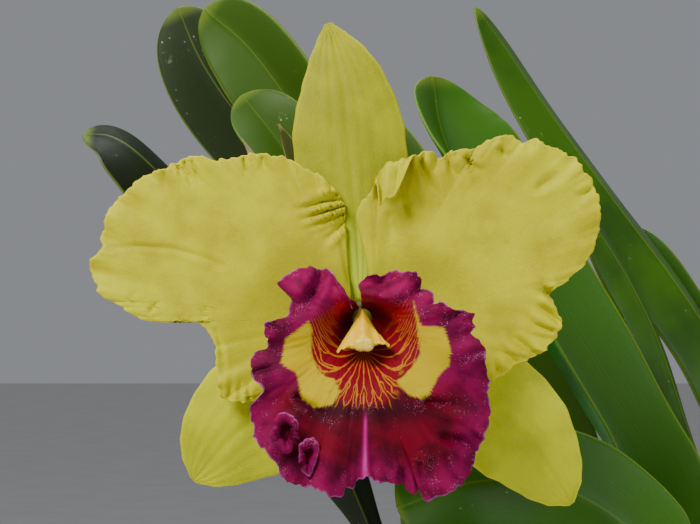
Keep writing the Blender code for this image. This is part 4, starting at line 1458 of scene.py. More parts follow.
@dataclass
class Strap:
    """A thick folded blade along a midrib: a leaf or a spathe."""

    bulb: str
    seat: tuple[float, float]
    points: Rows
    half_width: float
    fold: float
    roll: float
    tip: Tip = Tip.ROUND
    foot: float = 4.6
    thickness: float = 2.0
    rows: int = 100
    columns: int = 32
    run: float = 12.0
    gap: float = 0.8
    seed: int = 80

    def spine(self) -> Grid:
        """The midrib: off the bulb's top along the bulb's own axis, then through its points.

        Returns:
            The midrib's points.
        """
        axis = heading(bulb_spine(self.bulb), np.array([1.0]))[0]
        seat = np.array((*self.seat, 0.0))
        top = np.array(BULBS[self.bulb][1], float) + seat - axis * (seat @ axis)
        return np.array([top + axis * self.gap, top + axis * self.run, *self.points])

    def width(self, t: Grid) -> Grid:
        """Half the width at each place.

        Args:
            t: places along it.

        Returns:
            The half width.
        """
        share = self.foot / self.half_width
        swell = eased(((0.0, share), (0.10, share * 1.05), (0.34, 0.90), (0.55, 1.0)), t)
        start, power, bow = self.tip.value
        close = np.clip(t - start, 0, None) / (1 - start)
        return self.half_width * swell * np.maximum((1 - close ** power) ** bow, 0.035)

    def sheet(self) -> Skin:
        """The blade's middle surface.

        Returns:
            The open sheet.
        """
        fold, roll = math.radians(self.fold), math.radians(self.roll)
        base_roll = math.pi if roll > 2 else 0.0
        u, v = lattice(self.rows, self.columns)
        t = np.sin(u * math.pi / 2) ** 1.15
        spine = self.spine()
        ahead = heading(spine, t)
        facing = np.array((0.0, -1.0, 0.0))
        facing = unit(facing - ahead * (ahead @ facing)[..., None])
        facing = turned(facing, ahead, eased(((0.08, base_roll), (0.45, roll)), t))
        across = np.cross(ahead, facing)
        side = v * 2 - 1
        reach = self.width(t)
        clasped = max(fold, math.radians(38))       # how steeply the foot folds round its bulb
        steep = clasped + (fold - clasped) * np.minimum(t * 4, 1)
        steep = steep * (1 - t ** 14)
        lift = (np.sqrt(side ** 2 + 0.006) - 0.078) * reach
        wave = 0.35 * wander(t * 170, 22.0, self.seed) * side * (t > 0)
        point = along(spine, t) + across * (side * reach * np.cos(steep))[..., None]
        point = point + facing * (lift * np.sin(steep) + wave * rise(0.2, 0.5, t))[..., None]
        return Skin(point, values={"side": side, "place": t})

    def skin(self) -> Skin:
        """The blade thickened, keeled below its midrib, with rounded margins.

        Returns:
            The blade.
        """
        sheet = self.sheet()
        side, t = sheet.values["side"], sheet.values["place"]
        edge = np.sqrt(np.clip(1 - np.abs(side) ** 5, 0.0, 1))
        half = 0.5 * self.thickness * (0.30 + 0.70 * edge) * (1 - 0.55 * rise(0.9, 1.0, t))
        skin = sheet.thickened(half + 0.28 * self.thickness * bump(side, 0.0, 0.10) * 0.5)
        skin.values["face"] = 1 - skin.values["face"]
        return skin


@dataclass
class Stem:
    """The peduncle and the ovary that ends it, with a ring where the small bract was."""

    spine: Rows = (
        (-70, -18.5, 256.7), (-75, -20.5, 285), (-84, -25, 311), (-91, -33, 325), (-92.5, -45, 323),
        (-90.5, -56, 314), (-90, -63, 310.5), (-90, -67.2, 310))
    radius: float = 2.5
    ovary: float = 3.9

    def skin(self) -> Skin:
        """The stem, furrowed along its ovary.

        Returns:
            The stem.
        """
        rows = ((0.0, self.radius), (0.5, self.radius), (0.72, self.radius * 0.95), (0.9, self.ovary * 0.9),
                (1.0, self.ovary))
        skin = loft(self.spine, lambda t: eased(rows, t), 160, 48, (1, 0, 0), self.shape)
        t = skin.values["place"]
        skin.values["turn"] = skin.values["turn"] / math.tau
        skin.values["tinted"] = 0.5 * bump(t, 0.6, 0.01) + 0.25 * rise(0.7, 0.9, t)
        return skin

    def shape(self, t: Grid, turn: Grid) -> Grid:
        """Six furrows along the ovary and a ring where the bract was."""
        return (1 - 0.06 * (0.5 + 0.5 * np.cos(6 * turn + 3 * t)) * rise(0.6, 0.8, t)
                + 0.12 * bump(t, 0.6, 0.006))


@dataclass
class Rhizome:
    """The creeping stem that joins the pseudobulbs, and the roots that dive into the bark."""

    height: float = 111.0
    radius: float = 4.4
    root_radius: float = 1.9
    links: Sequence[tuple[str, str]] = (
        ("backbulb", "pseudobulb_a"), ("pseudobulb_a", "pseudobulb_c"), ("pseudobulb_c", "pseudobulb_b"),
        ("backbulb", "pseudobulb_d"), ("backbulb", "pseudobulb_e"), ("pseudobulb_e", "pseudobulb_f"),
        ("pseudobulb_e", "pseudobulb_g"))
    roots: Sequence[tuple] = (
        ("pseudobulb_b", (-44, -30, 110), (-42, -38, 106), (-36, -44, 94)),
        ("pseudobulb_b", (-24, -28, 111), (-14, -36, 107), (-6, -44, 94)),
        ("pseudobulb_c", (-54, 20, 110), (-52, 28, 106), (-44, 36, 94)),
        ("pseudobulb_e", (54, -10, 110), (52, -20, 106), (44, -30, 94)),
        ("pseudobulb_g", (0, -40, 111), (10, -47, 107), (20, -50, 94)),
        ("pseudobulb_a", (-14, 40, 111), (-18, 48, 107), (-26, 50, 94)),
        ("pseudobulb_f", (40, 42, 110), (30, 48, 106), (22, 52, 94)))

    def skins(self) -> list[Skin]:
        """The links, then the roots.

        Returns:
            A skin for each link and each root.
        """
        made = []
        for first, second in self.links:
            ends = [np.array((*BULBS[name][0], self.height), float) for name in (first, second)]
            run = unit(ends[1] - ends[0]) * self.radius
            spine = (ends[0] - run, ends[0], (ends[0] + ends[1]) / 2, ends[1], ends[1] + run)
            link = loft(spine, lambda t: 0 * t + self.radius, 80, 32, (0.2, 0.1, 1), self.ringed)
            link.values["tinted"] = 0.75 + 0 * link.values["place"]
            made.append(link)
        for bulb, *points in self.roots:
            spine = [np.array((*BULBS[bulb][0], self.height - 1), float), *points]
            root = loft(spine, lambda t: self.root_radius * (1.1 - 0.4 * t), 60, 24, (0.3, 0.2, 1),
                        lambda t, turn: 1 + 0.06 * wander(t * 12 + np.sin(turn), 1.0, 5))
            root.values["tinted"] = 0.3 * bump(root.values["place"], 0.0, 0.2)
            made.append(root)
        return made

    def ringed(self, t: Grid, turn: Grid) -> Grid:
        """Rings along a link, and its rounded ends.

        Args:
            t: places along it.
            turn: angles round it.

        Returns:
            The share of the radius.
        """
        ends = np.minimum(t, 1 - t) / 0.12
        close = np.sqrt(np.clip(1 - np.clip(1 - ends, 0, 1) ** 2, 0.04, 1))
        return close * (1 + 0.05 * np.abs(np.sin(t * 24)) + 0.02 * np.sin(5 * turn))


@dataclass
class Pot:
    """A turned clay pot with a rolled rim and five drain holes."""

    height: float = 120.0
    foot: float = 54.0
    neck: float = 69.0
    rim: float = 76.0
    rim_height: float = 26.0
    wall: float = 5.0
    floor: float = 7.0
    drains: int = 5
    drain_radius: float = 5.0
    drain_circle: float = 31.0
    sides: int = 160
    ring_space: float = 3.0     # between two rings of points

    def profile(self) -> list[tuple[float, float]]:
        """The turned outline as (radius, height), from the axis underneath round to the axis inside.

        Returns:
            The outline's points.
        """
        low, top = self.height - self.rim_height, self.height
        return [(0.05, 0), (self.foot - 3, 0), (self.foot - 1, 0.5), (self.foot, 2), (self.foot + 4, 26),
                (self.foot + 9, 60), (self.neck - 0.5, low - 3), (self.neck, low - 0.4), (self.neck + 2, low),
                (self.rim - 3, low), (self.rim - 1.4, low + 0.8), (self.rim - 1, low + 2.4),
                (self.rim - 0.6, low + 13), (self.rim, top - 3.4), (self.rim - 0.4, top - 1),
                (self.rim - 2, top), (self.rim - 4, top), (self.neck + 1, top - 0.3), (self.neck, top - 2),
                (self.neck - 3, top - 24), (self.foot + 3, 60), (self.foot - self.wall, self.floor + 3),
                (self.foot - self.wall - 1.2, self.floor + 0.8), (self.foot - self.wall - 3.4, self.floor),
                (0.05, self.floor)]

    def mesh(self) -> bpy.types.Object:
        """The pot, its drain holes cut.

        Returns:
            The pot, linked to the scene.
        """
        outline = np.array(self.profile())
        spots = []
        for start, end in zip(outline[:-1], outline[1:]):
            steps = max(2, int(np.linalg.norm(end - start) / self.ring_space))
            spots += [start + (end - start) * k / steps for k in range(steps)]
        spots = np.array([*spots, outline[-1]])
        turn = np.linspace(0, math.tau, self.sides, endpoint=False)
        grid = np.stack([spots[:, :1] * np.cos(turn), spots[:, :1] * np.sin(turn),
                         np.repeat(spots[:, 1:], self.sides, axis=1)], -1)
        pot = Skin(grid, around=True, capped=True).piece("pot_skin")
        cutters = bpy.data.collections.new("drain_cutters")
        bpy.context.scene.collection.children.link(cutters)
        for k in range(self.drains):
            at = math.tau * k / self.drains
            spot = np.array((self.drain_circle * math.cos(at), self.drain_circle * math.sin(at), 0.0))
            cutter = loft([spot - (0, 0, 12), spot + (0, 0, 14)], lambda t: 0 * t + self.drain_radius, 2, 40)
            obj = cutter.piece("drain_cutter")
            bpy.context.scene.collection.objects.unlink(obj)
            cutters.objects.link(obj)
        cut = pot.modifiers.new("drains", "BOOLEAN")
        cut.operand_type, cut.collection, cut.solver = "COLLECTION", cutters, "EXACT"
        graph = bpy.context.evaluated_depsgraph_get()
        finished = bpy.data.meshes.new_from_object(pot.evaluated_get(graph))
        pot.modifiers.clear()
        pot.data = finished
        for cutter in list(cutters.objects):
            bpy.data.objects.remove(cutter)
        bpy.data.collections.remove(cutters)
        return pot


@dataclass
class Bark:
    """The growing medium: a plug of bark that fills the pot, with coarse chips over its top."""

    top: float = 102.0
    count: int = 56
    length: tuple[float, float] = (18.0, 29.0)
    bore: Rows = ((10.0, 49.0), (118.0, 69.0))  # the pot's inside radius at two heights
    clear: float = 13.0                         # chips nearer to a rhizome lie lower
    seed: int = 11

    def inner_radius(self, height: float) -> float:
        """The pot's inside radius at that height."""
        (low, narrow), (high, wide) = self.bore
        return narrow + (wide - narrow) * (height - low) / (high - low)

    def plug(self) -> Skin:
        """The plug that fills the pot.

        Returns:
            The plug.
        """
        heights = np.array([7.4, 12.4, 40, 75, self.top - 4, *[self.top - 2] * 4])
        shares = np.array([0.9, 1.0, 1.0, 1.0, 1.0, 0.96, 0.72, 0.46, 0.01])
        turn = np.linspace(0, math.tau, 96, endpoint=False)
        radius = shares * np.array([self.inner_radius(min(h, self.top)) - 0.8 for h in heights])
        height = heights[:, None] + 0.8 * np.sin(3 * turn) * (np.arange(9) > 5)[:, None]
        return Skin(np.stack([radius[:, None] * np.cos(turn), radius[:, None] * np.sin(turn), height], -1),
                    around=True, capped=True)

    def chips(self) -> list[Skin]:
        """The chips, each a broken slab with flaking sides.

        Returns:
            A skin for each chip.
        """
        draw = random.Random(self.seed)
        routes = [[np.array((*BULBS[name][0], 0.0)) for name in link] for link in Rhizome().links]
        made = []
        for i in range(self.count):
            length = draw.uniform(*self.length)
            distance = (self.inner_radius(self.top) - length * 0.62) * math.sqrt((i + 0.5) / self.count)
            turn = i * GOLDEN_ANGLE
            spot = np.array((distance * math.cos(turn), distance * math.sin(turn), 0.0))
            near = min(route_distance(spot, route) for route in routes)
            height = self.top + (draw.uniform(-1.0, 3.0) if near > self.clear else draw.uniform(-3.0, -1.0))
            size = np.array((length, length * draw.uniform(0.55, 0.8), draw.uniform(5, 8)))
            tilt = [math.radians(draw.uniform(-16, 16)) for _ in range(2)]
            corner = np.array([[draw.uniform(0.72, 1.0) for _ in range(3)] for _ in range(8)])
            spin = Matrix.Rotation(draw.uniform(0, math.tau), 3, "Z")
            whole = np.array(spin @ Matrix.Rotation(tilt[0], 3, "X") @ Matrix.Rotation(tilt[1], 3, "Y"))
            made.append(self.chip(size, corner, whole, spot + (0, 0, height), i))
        return made

    def chip(self, size: Grid, corner: Grid, whole: Grid, spot: Grid, number: int) -> Skin:
        """One chip.

        Args:
            size: its length, width and thickness.
            corner: a share of the size for each of its eight corners.
            whole: its turn, as a matrix.
            spot: its middle.
            number: which chip it is, for its own roughness.

        Returns:
            A closed slab wrapped by a grid, its layers stepped.
        """
        t, turn = lattice(18, 34, around=True)
        turn = turn * math.tau
        square = 1 / np.maximum(np.abs(np.cos(turn)), np.abs(np.sin(turn)))
        soft = square ** 0.8
        close = np.clip(1 - np.abs(2 * t - 1) ** 9, 0.03, 1) ** 0.5
        x = (t - 0.5)
        y = 0.5 * np.cos(turn) * soft * close
        z = 0.5 * np.sin(turn) * soft * close
        high, wide, deep = (x + 0.5)[..., None], (y + 0.5)[..., None], (z + 0.5)[..., None]
        share = 0
        for k, scale in enumerate(corner):
            bits = ((k >> 2) & 1, (k >> 1) & 1, k & 1)
            weight = ((high if bits[0] else 1 - high) * (wide if bits[1] else 1 - wide)
                      * (deep if bits[2] else 1 - deep))
            share = share + weight * scale
        local = np.stack([x, y, z], -1) * size * share
        rough = 0.9 * wander_two(local[..., 0] + 31 * number, local[..., 1], 4.5, 7)
        layer = 0.35 * wander_two(local[..., 0] * 0.5, local[..., 2] * 2.4 + number, 1.6, 8)
        push = unit(np.stack([0 * x, y / size[1], z / size[2]], -1) + 1e-6)
        local = local + push * (0.45 * rough + layer)[..., None]
        return Skin(local @ whole.T + spot, around=True, capped=True)


def route_distance(spot: Grid, route: Sequence[Grid]) -> float:
    """How far a spot on the bark lies from a straight route.

    Args:
        spot: the spot.
        route: the route's two ends.

    Returns:
        The distance.
    """
    start, end = route
    run = end - start
    f = min(max(float((spot - start) @ run) / float(run @ run), 0), 1)
    return float(np.linalg.norm(spot - start - run * f))


@dataclass
class Studio:
    """Pale paper under the plant, soft lights, and the camera at the photograph's angle."""

    spot: tuple[float, float, float] = (-93.552, -820.0, 326.576)
    lens: float = 130.3
    half_floor: float = 6000.0
    below: float = 0.4      # the floor's gap under the pot
    paper: StudioPaper = StudioPaper()

    def build(self) -> None:
        """Makes all of it."""
        self.floor()
        self.lights()
        self.camera()

    def floor(self) -> None:
        """A plain floor under the plant, wide enough to be seen from every side."""
        reach = np.linspace(-self.half_floor, self.half_floor, 25)
        across, ahead = np.meshgrid(reach, reach)
        made = Skin(np.stack([across, ahead, 0 * across - self.below], -1)).piece("studio_floor")
        made.data.materials.append(self.paper.material())

    def lights(self) -> None:
        """A large soft key from the upper left, a wide fill, a light from above and the air's own glow."""
        # each light's place, what it is aimed at, its width, its power and its colour
        for name, spot, aim, size, watts, tone in (
                ("key", (-520, -620, 900), (-90, -40, 320), 420, 13.0, (1.0, 0.97, 0.92)),
                ("fill", (700, -800, 420), (-90, -40, 300), 700, 5.0, (0.93, 0.96, 1.0)),
                ("top", (0, 150, 1100), (-60, 0, 250), 600, 5.0, (1.0, 1.0, 1.0))):
            lamp = bpy.data.lights.new(name, "AREA")
            lamp.shape = "DISK"
            lamp.size = size * MM
            lamp.energy = watts
            lamp.color = tone
            made = bpy.data.objects.new(name, lamp)
            made.location = Vector(spot) * MM
            made.rotation_euler = (Vector(aim) - Vector(spot)).to_track_quat("-Z", "Y").to_euler()
            bpy.context.scene.collection.objects.link(made)
        world = bpy.data.worlds.new("studio_air")
        bpy.context.scene.world = world
        world.use_nodes = True
        air = world.node_tree.nodes["Background"]
        air.inputs["Color"].default_value = (0.9, 0.93, 1.0, 1.0)
        air.inputs["Strength"].default_value = 0.28

    def camera(self) -> None:
        """The camera, level, in front of the bloom."""
        lens = bpy.data.cameras.new("camera")
        lens.lens = self.lens
        lens.sensor_width = 36.0
        made = bpy.data.objects.new("camera", lens)
        made.location = Vector(self.spot) * MM
        made.rotation_euler = (math.radians(90), 0, 0)
        bpy.context.scene.collection.objects.link(made)
        bpy.context.scene.camera = made


# the petals' margins as (angle from the right, radius) round the claw, from the upper inner edge down
PETAL_LEFT = (
    (91.2, 28.4), (96.2, 33.1), (103, 38.3), (109.2, 42.7), (113.5, 46.2), (117.8, 48.8), (121.9, 51.6),
    (126.6, 53.2), (133.1, 57.2), (135.6, 61), (138.9, 63.6), (145, 67.6), (148.9, 70.5), (152.9, 72.2),
    (159, 75.2), (164.8, 74.9), (167.8, 74.3), (171.3, 76.4), (176.3, 74.2), (179, 71.7), (181, 67.2),
    (185.3, 60.1), (186.2, 54.3), (187, 48.3), (188.3, 44), (191.8, 42.1), (198.4, 41.2), (205.1, 42.5),
    (211, 44.2), (217.5, 46.6), (223.3, 43.6), (227, 40))
PETAL_RIGHT = (
    (103.7, 18.6), (103, 26.2), (96, 30.7), (92.4, 32.9), (89.5, 36.4), (86.1, 40.1), (82.4, 40.7),
    (78.8, 42.6), (75.6, 44.1), (71.1, 46.6), (66.3, 46.6), (62.7, 50.3), (58.3, 52.5), (56.9, 54.8),
    (54.9, 58.3), (52.4, 62.1), (48, 63.4), (46.1, 66.2), (42.9, 67.9), (40.1, 69.3), (36.3, 71.7),
    (32.1, 72), (28.4, 72.4), (23.3, 71.7), (19, 69.3), (14.5, 66.1), (10.7, 62.7), (8.1, 59.2),
    (5.6, 55.4), (3.6, 52.2), (-0.3, 51.5), (-4.4, 53.8), (-7.5, 54.7), (-12.5, 53.1), (-17.4, 50.6),
    (-23, 46.1), (-31, 42.5), (-35.2, 40.6))
# the lip's rim as (angle from straight down, radius), from its upper left round below to its upper right
LIP_RIM = (
    (-162.6, 12.7), (-160.8, 17.7), (-158, 20.8), (-156.5, 23.9), (-154.1, 26.6), (-149.7, 26.4),
    (-146.4, 28.7), (-141.5, 30.2), (-136.2, 31.2), (-130.9, 31.3), (-127.4, 31.6), (-125.8, 28.9),
    (-124.8, 26.1), (-121.1, 25), (-112, 24.6), (-108.1, 27.7), (-104.8, 29.3), (-98.4, 29.4), (-96, 27.6),
    (-90, 28.3), (-88.5, 31.1), (-82.2, 33.1), (-75.2, 32.5), (-67.5, 32.1), (-64.5, 35.8), (-60, 37.5),
    (-54, 38.8), (-51, 40.8), (-43.6, 40.2), (-38, 41.2), (-34.5, 42.9), (-27.8, 43.9), (-23.7, 41.8),
    (-18.7, 41.9), (-15.3, 42), (-9.3, 42), (-8, 38.9), (-4.9, 39.8), (-3.1, 37.2), (1.9, 35.4),
    (5.7, 37.3), (12.4, 38.6), (16.5, 39.3), (16.7, 41.8), (19.7, 43.3), (22.6, 40.8), (21.4, 45.4),
    (24.3, 46.6), (30.1, 46.8), (35.7, 47.2), (41.7, 46), (46.8, 43.9), (52.2, 42.4), (59.3, 41.3),
    (67.7, 38.9), (71.9, 37.7), (78.2, 36.3), (83.8, 34.5), (91.5, 33.8), (98, 30.9), (101.8, 32.2),
    (107.3, 32.7), (111.9, 30), (114.3, 28), (121.9, 25.9), (122.5, 23.5), (128.4, 25.3), (135, 25),
    (137.1, 23.5), (140.9, 25.4), (147.5, 26.1), (154.9, 25), (162.6, 23.1), (167.8, 21.7), (177.6, 21.2),
    (185.2, 18.7), (183.9, 16.3))
# rings of the lip as (share, centre height, radius at the sides, below, above, depth at the same three)
LIP_RINGS = (
    (0.00, 0.3, 2.5, 2.5, 2.5, 2.8, 2.8, 2.8),
    (0.18, -1.5, 7.4, 7.8, 7.2, 9.5, 11.0, 8.5),
    (0.38, -3.5, 9.8, 10.2, 9.0, 16.5, 21.0, 14.0),
    (0.58, -6.0, 14.5, 14.5, 12.0, 21.5, 28.5, 17.5),
    (0.78, -8.5, 24.0, 25.0, 17.0, 24.0, 32.5, 18.0),
    (1.00, -9.5, 35.0, 41.0, 24.0, 22.5, 30.0, 14.5))
# each leaf's bulb, its seat on the bulb's top, its midrib, half its width, its fold and roll in degrees
LEAVES = {
    "leaf_1": ("pseudobulb_a", (0, 3.8), ((-60, 38, 285), (-86, 41, 326), (-111, 42, 354), (-131, 42, 376),
        (-144, 42, 395), (-152, 42, 413)), 17.0, 24, -8, Tip.ROUND),
    "leaf_2": ("pseudobulb_a", (0, -3.8), ((-62, 27, 293), (-83, 25, 332), (-106, 25, 369), (-126, 25, 397),
        (-142, 25, 411)), 17.0, 30, -16, Tip.ROUND),
    "leaf_3": ("pseudobulb_b", (0, 7.6), ((-84, 3, 298), (-99, 8, 335), (-114, 9, 361), (-129, 9, 381)),
        15.0, 38, 20, Tip.ROUND),
    "leaf_4": ("pseudobulb_c", (0, 0), ((-104, 18, 275), (-128, 15, 318), (-148, 12, 345), (-162, 10, 360),
        (-172, 10, 367), (-181, 10, 368)), 15.0, 23, 235, Tip.ROUND),
    "leaf_5": ("pseudobulb_d", (0, 0), ((-22, 51, 268), (-50, 52, 308), (-75, 54, 346), (-94, 55, 379)),
        17.0, 24, 0, Tip.ROUND),
    "leaf_6": ("pseudobulb_e", (0, -4.0), ((22, 2, 224), (-1, 4, 255), (-27, 5, 297), (-50, 5, 337),
        (-64, 5, 367), (-67, 5, 387)), 26.0, 45, 50, Tip.ROUND),
    "leaf_7": ("pseudobulb_e", (0, 4.0), ((30, 13, 230), (19, 17, 265), (8, 20, 299), (-2, 20, 320),
        (-16, 20, 343)), 9.5, 23, 235, Tip.ROUND),
    "leaf_8": ("pseudobulb_f", (0, -4.0), ((56, 41, 250), (41, 43, 280), (20, 43, 314), (-6, 43, 349),
        (-30, 43, 382), (-51, 42, 413)), 18.5, 23, 235, Tip.KEEN),
    "leaf_9": ("pseudobulb_f", (0, 4.0), ((57, 53, 250), (42, 60, 279), (24, 64, 306), (3, 65, 338)), 10.0,
        22, 0, Tip.ROUND),
    "leaf_10": ("pseudobulb_g", (0, 0), ((4, -34, 230), (-10, -38, 246), (-30, -42, 257), (-54, -44, 259),
        (-79, -44, 251)), 19.0, 18, 24, Tip.ROUND),
}
# each spathe's bulb, seat, midrib, half width, fold in degrees and half the width of its foot
SPATHES = {
    "flower_sheath": ("pseudobulb_b", (-0.6, 4.6), ((-77, -13.5, 285), (-87, -16, 312), (-101, -19, 340),
        (-116, -22, 370)), 10.0, 48, 5.2),
    "dry_sheath": ("pseudobulb_b", (-7.4, 2.4), ((-87, -11.5, 284), (-98, -10, 308), (-112, -10, 338),
        (-128, -10, 366)), 5.5, 22, 2.6),
}


@dataclass
class Potting:
    """The pot, the bark in it, and the rhizome with its roots."""

    pot: Pot = field(default_factory=Pot)
    bark: Bark = field(default_factory=Bark)
    rhizome: Rhizome = field(default_factory=Rhizome)

    def build(self) -> None:
        """Makes and dresses all of it."""
        placed(self.pot.mesh(), Terracotta().material(), ["pot"])
        mix = joined([self.bark.plug(), *self.bark.chips()], "bark_skin")
        placed(mix, FirBark().material(), ["bark_mix"])
        placed(joined(self.rhizome.skins(), "rhizome_skin"), Velamen().material(), ["rhizome"])


class LeafTone(Enum):
    """The leaves' greens, by their age and by painted light: the brightest tone stands for leaves in full
    light and the darkest is painted shade for leaves in shade.
    """

    LIT = LeafCuticle("leaf_lit", "#219400", "#2F5A06", "#1A6C00", roughness=0.34)
    MID = LeafCuticle("leaf_mid", "#2B5C06", "#34520C", "#204804", roughness=0.38)
    OLD = LeafCuticle("leaf_shaded", "#131F04", "#1B2A08", "#0C1503", roughness=0.45)
    OLIVE = LeafCuticle("leaf_olive", "#305602", "#2A5004", "#224202", roughness=0.42)


# leaves in full light take the brightest tone and those in shade the darkest: painted light and painted shade
LEAF_TONES = {
    "leaf_1": LeafTone.OLD, "leaf_2": LeafTone.MID, "leaf_3": LeafTone.MID, "leaf_4": LeafTone.OLD,
    "leaf_5": LeafTone.MID, "leaf_6": LeafTone.LIT, "leaf_7": LeafTone.OLIVE, "leaf_8": LeafTone.OLIVE,
    "leaf_9": LeafTone.OLIVE, "leaf_10": LeafTone.LIT}


@dataclass
class Shoots:
    """The pseudobulbs with their papery bracts, the leaves and the spathes."""

    rind: Horn = Horn("pseudobulb_rind", "#4F6A14", "#38500C", "#74682E")
    dry: DryBract = DryBract()
    green: LeafCuticle = LeafCuticle("spathe_cuticle", "#464C0C", "#3C4210", "#50300E", pale="#A09458",
                                     roughness=0.5)
    wraps: Rows = ((0.01, 0.34, 0.0), (0.28, 0.58, 2.6))     # each bract's start, end and turn

    def build(self) -> None:
        """Makes and dresses all of it."""
        paper = self.dry.material()
        self.bulbs(paper)
        self.leaves()
        self.spathes(paper)

    def bulbs(self, paper: bpy.types.Material) -> None:
        """The pseudobulbs, each with its bracts of paper.

        Args:
            paper: the bracts' finish.
        """
        horn = self.rind.material()
        for k, name in enumerate(BULBS):
            bulb = Pseudobulb(name, seed=60 + 9 * k)
            dressed(bulb.skin(), name, horn, "pseudobulb")
            bracts = [bulb.bract(start, end, 0.7 * k + turn) for start, end, turn in self.wraps]
            placed(joined(bracts, name + "_bracts"), paper)

    def leaves(self) -> None:
        """The leaves, in their tones."""
        finishes = {tone: tone.value.material() for tone in LeafTone}
        for k, (name, (bulb, seat, points, half, fold, roll, tip)) in enumerate(LEAVES.items()):
            leaf = Strap(bulb, seat, points, half, fold, roll, tip, seed=80 + k)
            dressed(leaf.skin(), name, finishes[LEAF_TONES[name]], "leaf")

    def spathes(self, paper: bpy.types.Material) -> None:
        """The green spathe and the dry one.

        Args:
            paper: the dry one's finish.
        """
        finishes = {"flower_sheath": (self.green.material(), "sheath_green"),
                    "dry_sheath": (paper, "sheath_dry")}
        for name, (bulb, seat, points, half, fold, foot) in SPATHES.items():
            spathe = Strap(bulb, seat, points, half, fold, 0, Tip.SHARP, foot, 0.9, rows=110)
            dressed(spathe.skin(), name, *finishes[name])


# creases and crests of the petals and the lip, as lines in the bloom's axes
LEFT_PLEATS = (
    ((-58.5, 44.2), (-57.9, 41), (-57.7, 36.9)), ((-56.5, 44.8), (-55.6, 41.5), (-54.8, 37)),
    ((-54.4, 45.4), (-53.6, 41.9), (-52.2, 36.3)), ((-52.4, 46), (-51.1, 42), (-49.3, 37.2)),
    ((-50.3, 46.3), (-48.7, 42), (-46.6, 37.9)), ((-35, 47.2), (-33.8, 40.7)), ((-29.4, 47.2), (-29.4, 43)))
LEFT_BUNCH = (
    ((-4.7, 35.1), (-11.8, 33.9), (-21.8, 31.3)), ((-4.7, 33.3), (-12.4, 31), (-20.6, 28.3)),
    ((-4.7, 31.6), (-11.8, 28.3), (-18.8, 25.7)), ((-4.7, 30.1), (-11.2, 26), (-17.1, 23)),
    ((-5, 28.3), (-9.4, 24.2), (-14.1, 20.7)), ((-7.1, 36.3), (-11.8, 35.1), (-17.7, 33.9)))
LEFT_LOBE = (
    ((-43.2, -3.4), (-41.8, -6.9), (-40.9, -12.2), (-40.3, -19.6)),
    ((-39.1, -24.6), (-38.5, -19.6), (-38.2, -12.8)), ((-35.9, -25.5), (-35.9, -21.1), (-36.2, -15.8)),
    ((-33.2, -24.9), (-33.5, -21.1), (-33.8, -16.9)), ((-41.2, -25.2), (-41.5, -21.6), (-41.8, -17.5)),
    ((-68.8, 5.4), (-65.3, 9.5)), ((-62.4, 1.9), (-60, 6)), ((-53.5, -1.1), (-52.4, 3.6)),
    ((-46.2, 0.7), (-46.8, 5.4)))
LEFT_VALLEY = ((-77.1, 20.1), (-66.8, 21.3), (-56.5, 20.7), (-47.7, 18.3), (-40.9, 15.4))
RIGHT_PLEATS = (
    ((17, 46.5), (19.5, 41), (23, 33.5)), ((24.7, 49.2), (26, 44.6), (28.5, 39.5)),
    ((30.6, 47.2), (33.5, 44), (37, 42.8)), ((27.3, 50.1), (27.6, 45.4)), ((21.2, 49), (22.9, 43)),
    ((40.6, 50.1), (42.9, 46.6)), ((49.7, 53), (49.1, 47.5)), ((63, 47.5), (58, 44.5)),
    ((67, 37.7), (62.6, 34.8)), ((56.1, 5.4), (53.8, 9.8), (52.3, 13.6)),
    ((57, 7), (52.5, 7.6), (49, 10.5)), ((58.2, -1.1), (53, 3), (49.4, 7.4)),
    ((56, -3.6), (51, -2), (46, 2.4)), ((52.3, -11.3), (44.5, -5.7), (43.2, 0.7)),
    ((46.4, -14.8), (42, -10), (39.4, -7.5)), ((40.6, -17.8), (38.5, -8.7)))
RIGHT_VALLEYS = (
    ((52.3, 38.6), (62, 45.1)), ((8.2, 29.8), (10, 21.3)), ((12.3, 32.7), (14.4, 24.8)))
LIP_VALLEY = ((-11.3, 15.5), (-13.3, 9.4), (-15.8, 4.9))
LIP_CREASES = (
    ((-18.7, -22.2), (-14.4, -25.1), (-9.3, -29.1)), ((18.4, -23.4), (26.4, -24.5), (35.5, -23.9)),
    ((23, -33.4), (28.4, -34.5), (33, -36.8)), ((-30.7, -14.8), (-25.5, -13.7), (-22.1, -14.8)))
LIP_GATHERS = (
    ((4.4, 13.7), (5, 8.6)), ((15.6, 8.3), (12.1, 5.7)), ((21, 4.9), (17.6, 2.3)),
    ((27.3, 2), (22.1, -1.7)), ((31.3, -3.7), (25.6, -5.7)), ((34.1, -9.1), (27.3, -11.4)),
    ((11.3, -42.8), (10.7, -47.9)), ((16.4, -40.5), (17.6, -49.6)), ((23.8, -38.5), (26.7, -44.5)),
    ((19.3, -39.4), (22.1, -48.5)), ((-6.4, -42.8), (-8.1, -49.1)), ((-12.7, -40.5), (-16.1, -46.8)),
    ((-17.8, -35.9), (-23, -40.5)), ((-23, 5.7), (-18.4, 4.6)), ((-27.5, -1.7), (-22.4, -2.8)),
    ((-29.8, -8.5), (-24.7, -9.1)))
LIP_BROW = ((-0.7, 8.0), (1.9, 6.9), (7.0, 5.7), (11.6, 5.2))
LIP_HOLLOWS = (((0.4, 4.3), (5.6, 3.5), (10.7, 2.3)), ((-6.4, 4.0), (-3.6, 2.6)))
LIP_THROAT = (
    (-14.8, -0.7), (-14.8, -10.4), (-12.2, -16.8), (-8.4, -20.8), (-4.7, -23.4), (0.8, -23.9),
    (6.2, -23.4), (10.2, -19.3), (14.3, -14.2), (16.6, -7.3), (15.7, 1.1), (13.1, 4.8), (9.1, 3.9),
    (2.8, 2.2), (-3.6, 2.2), (-9.3, 2.8))
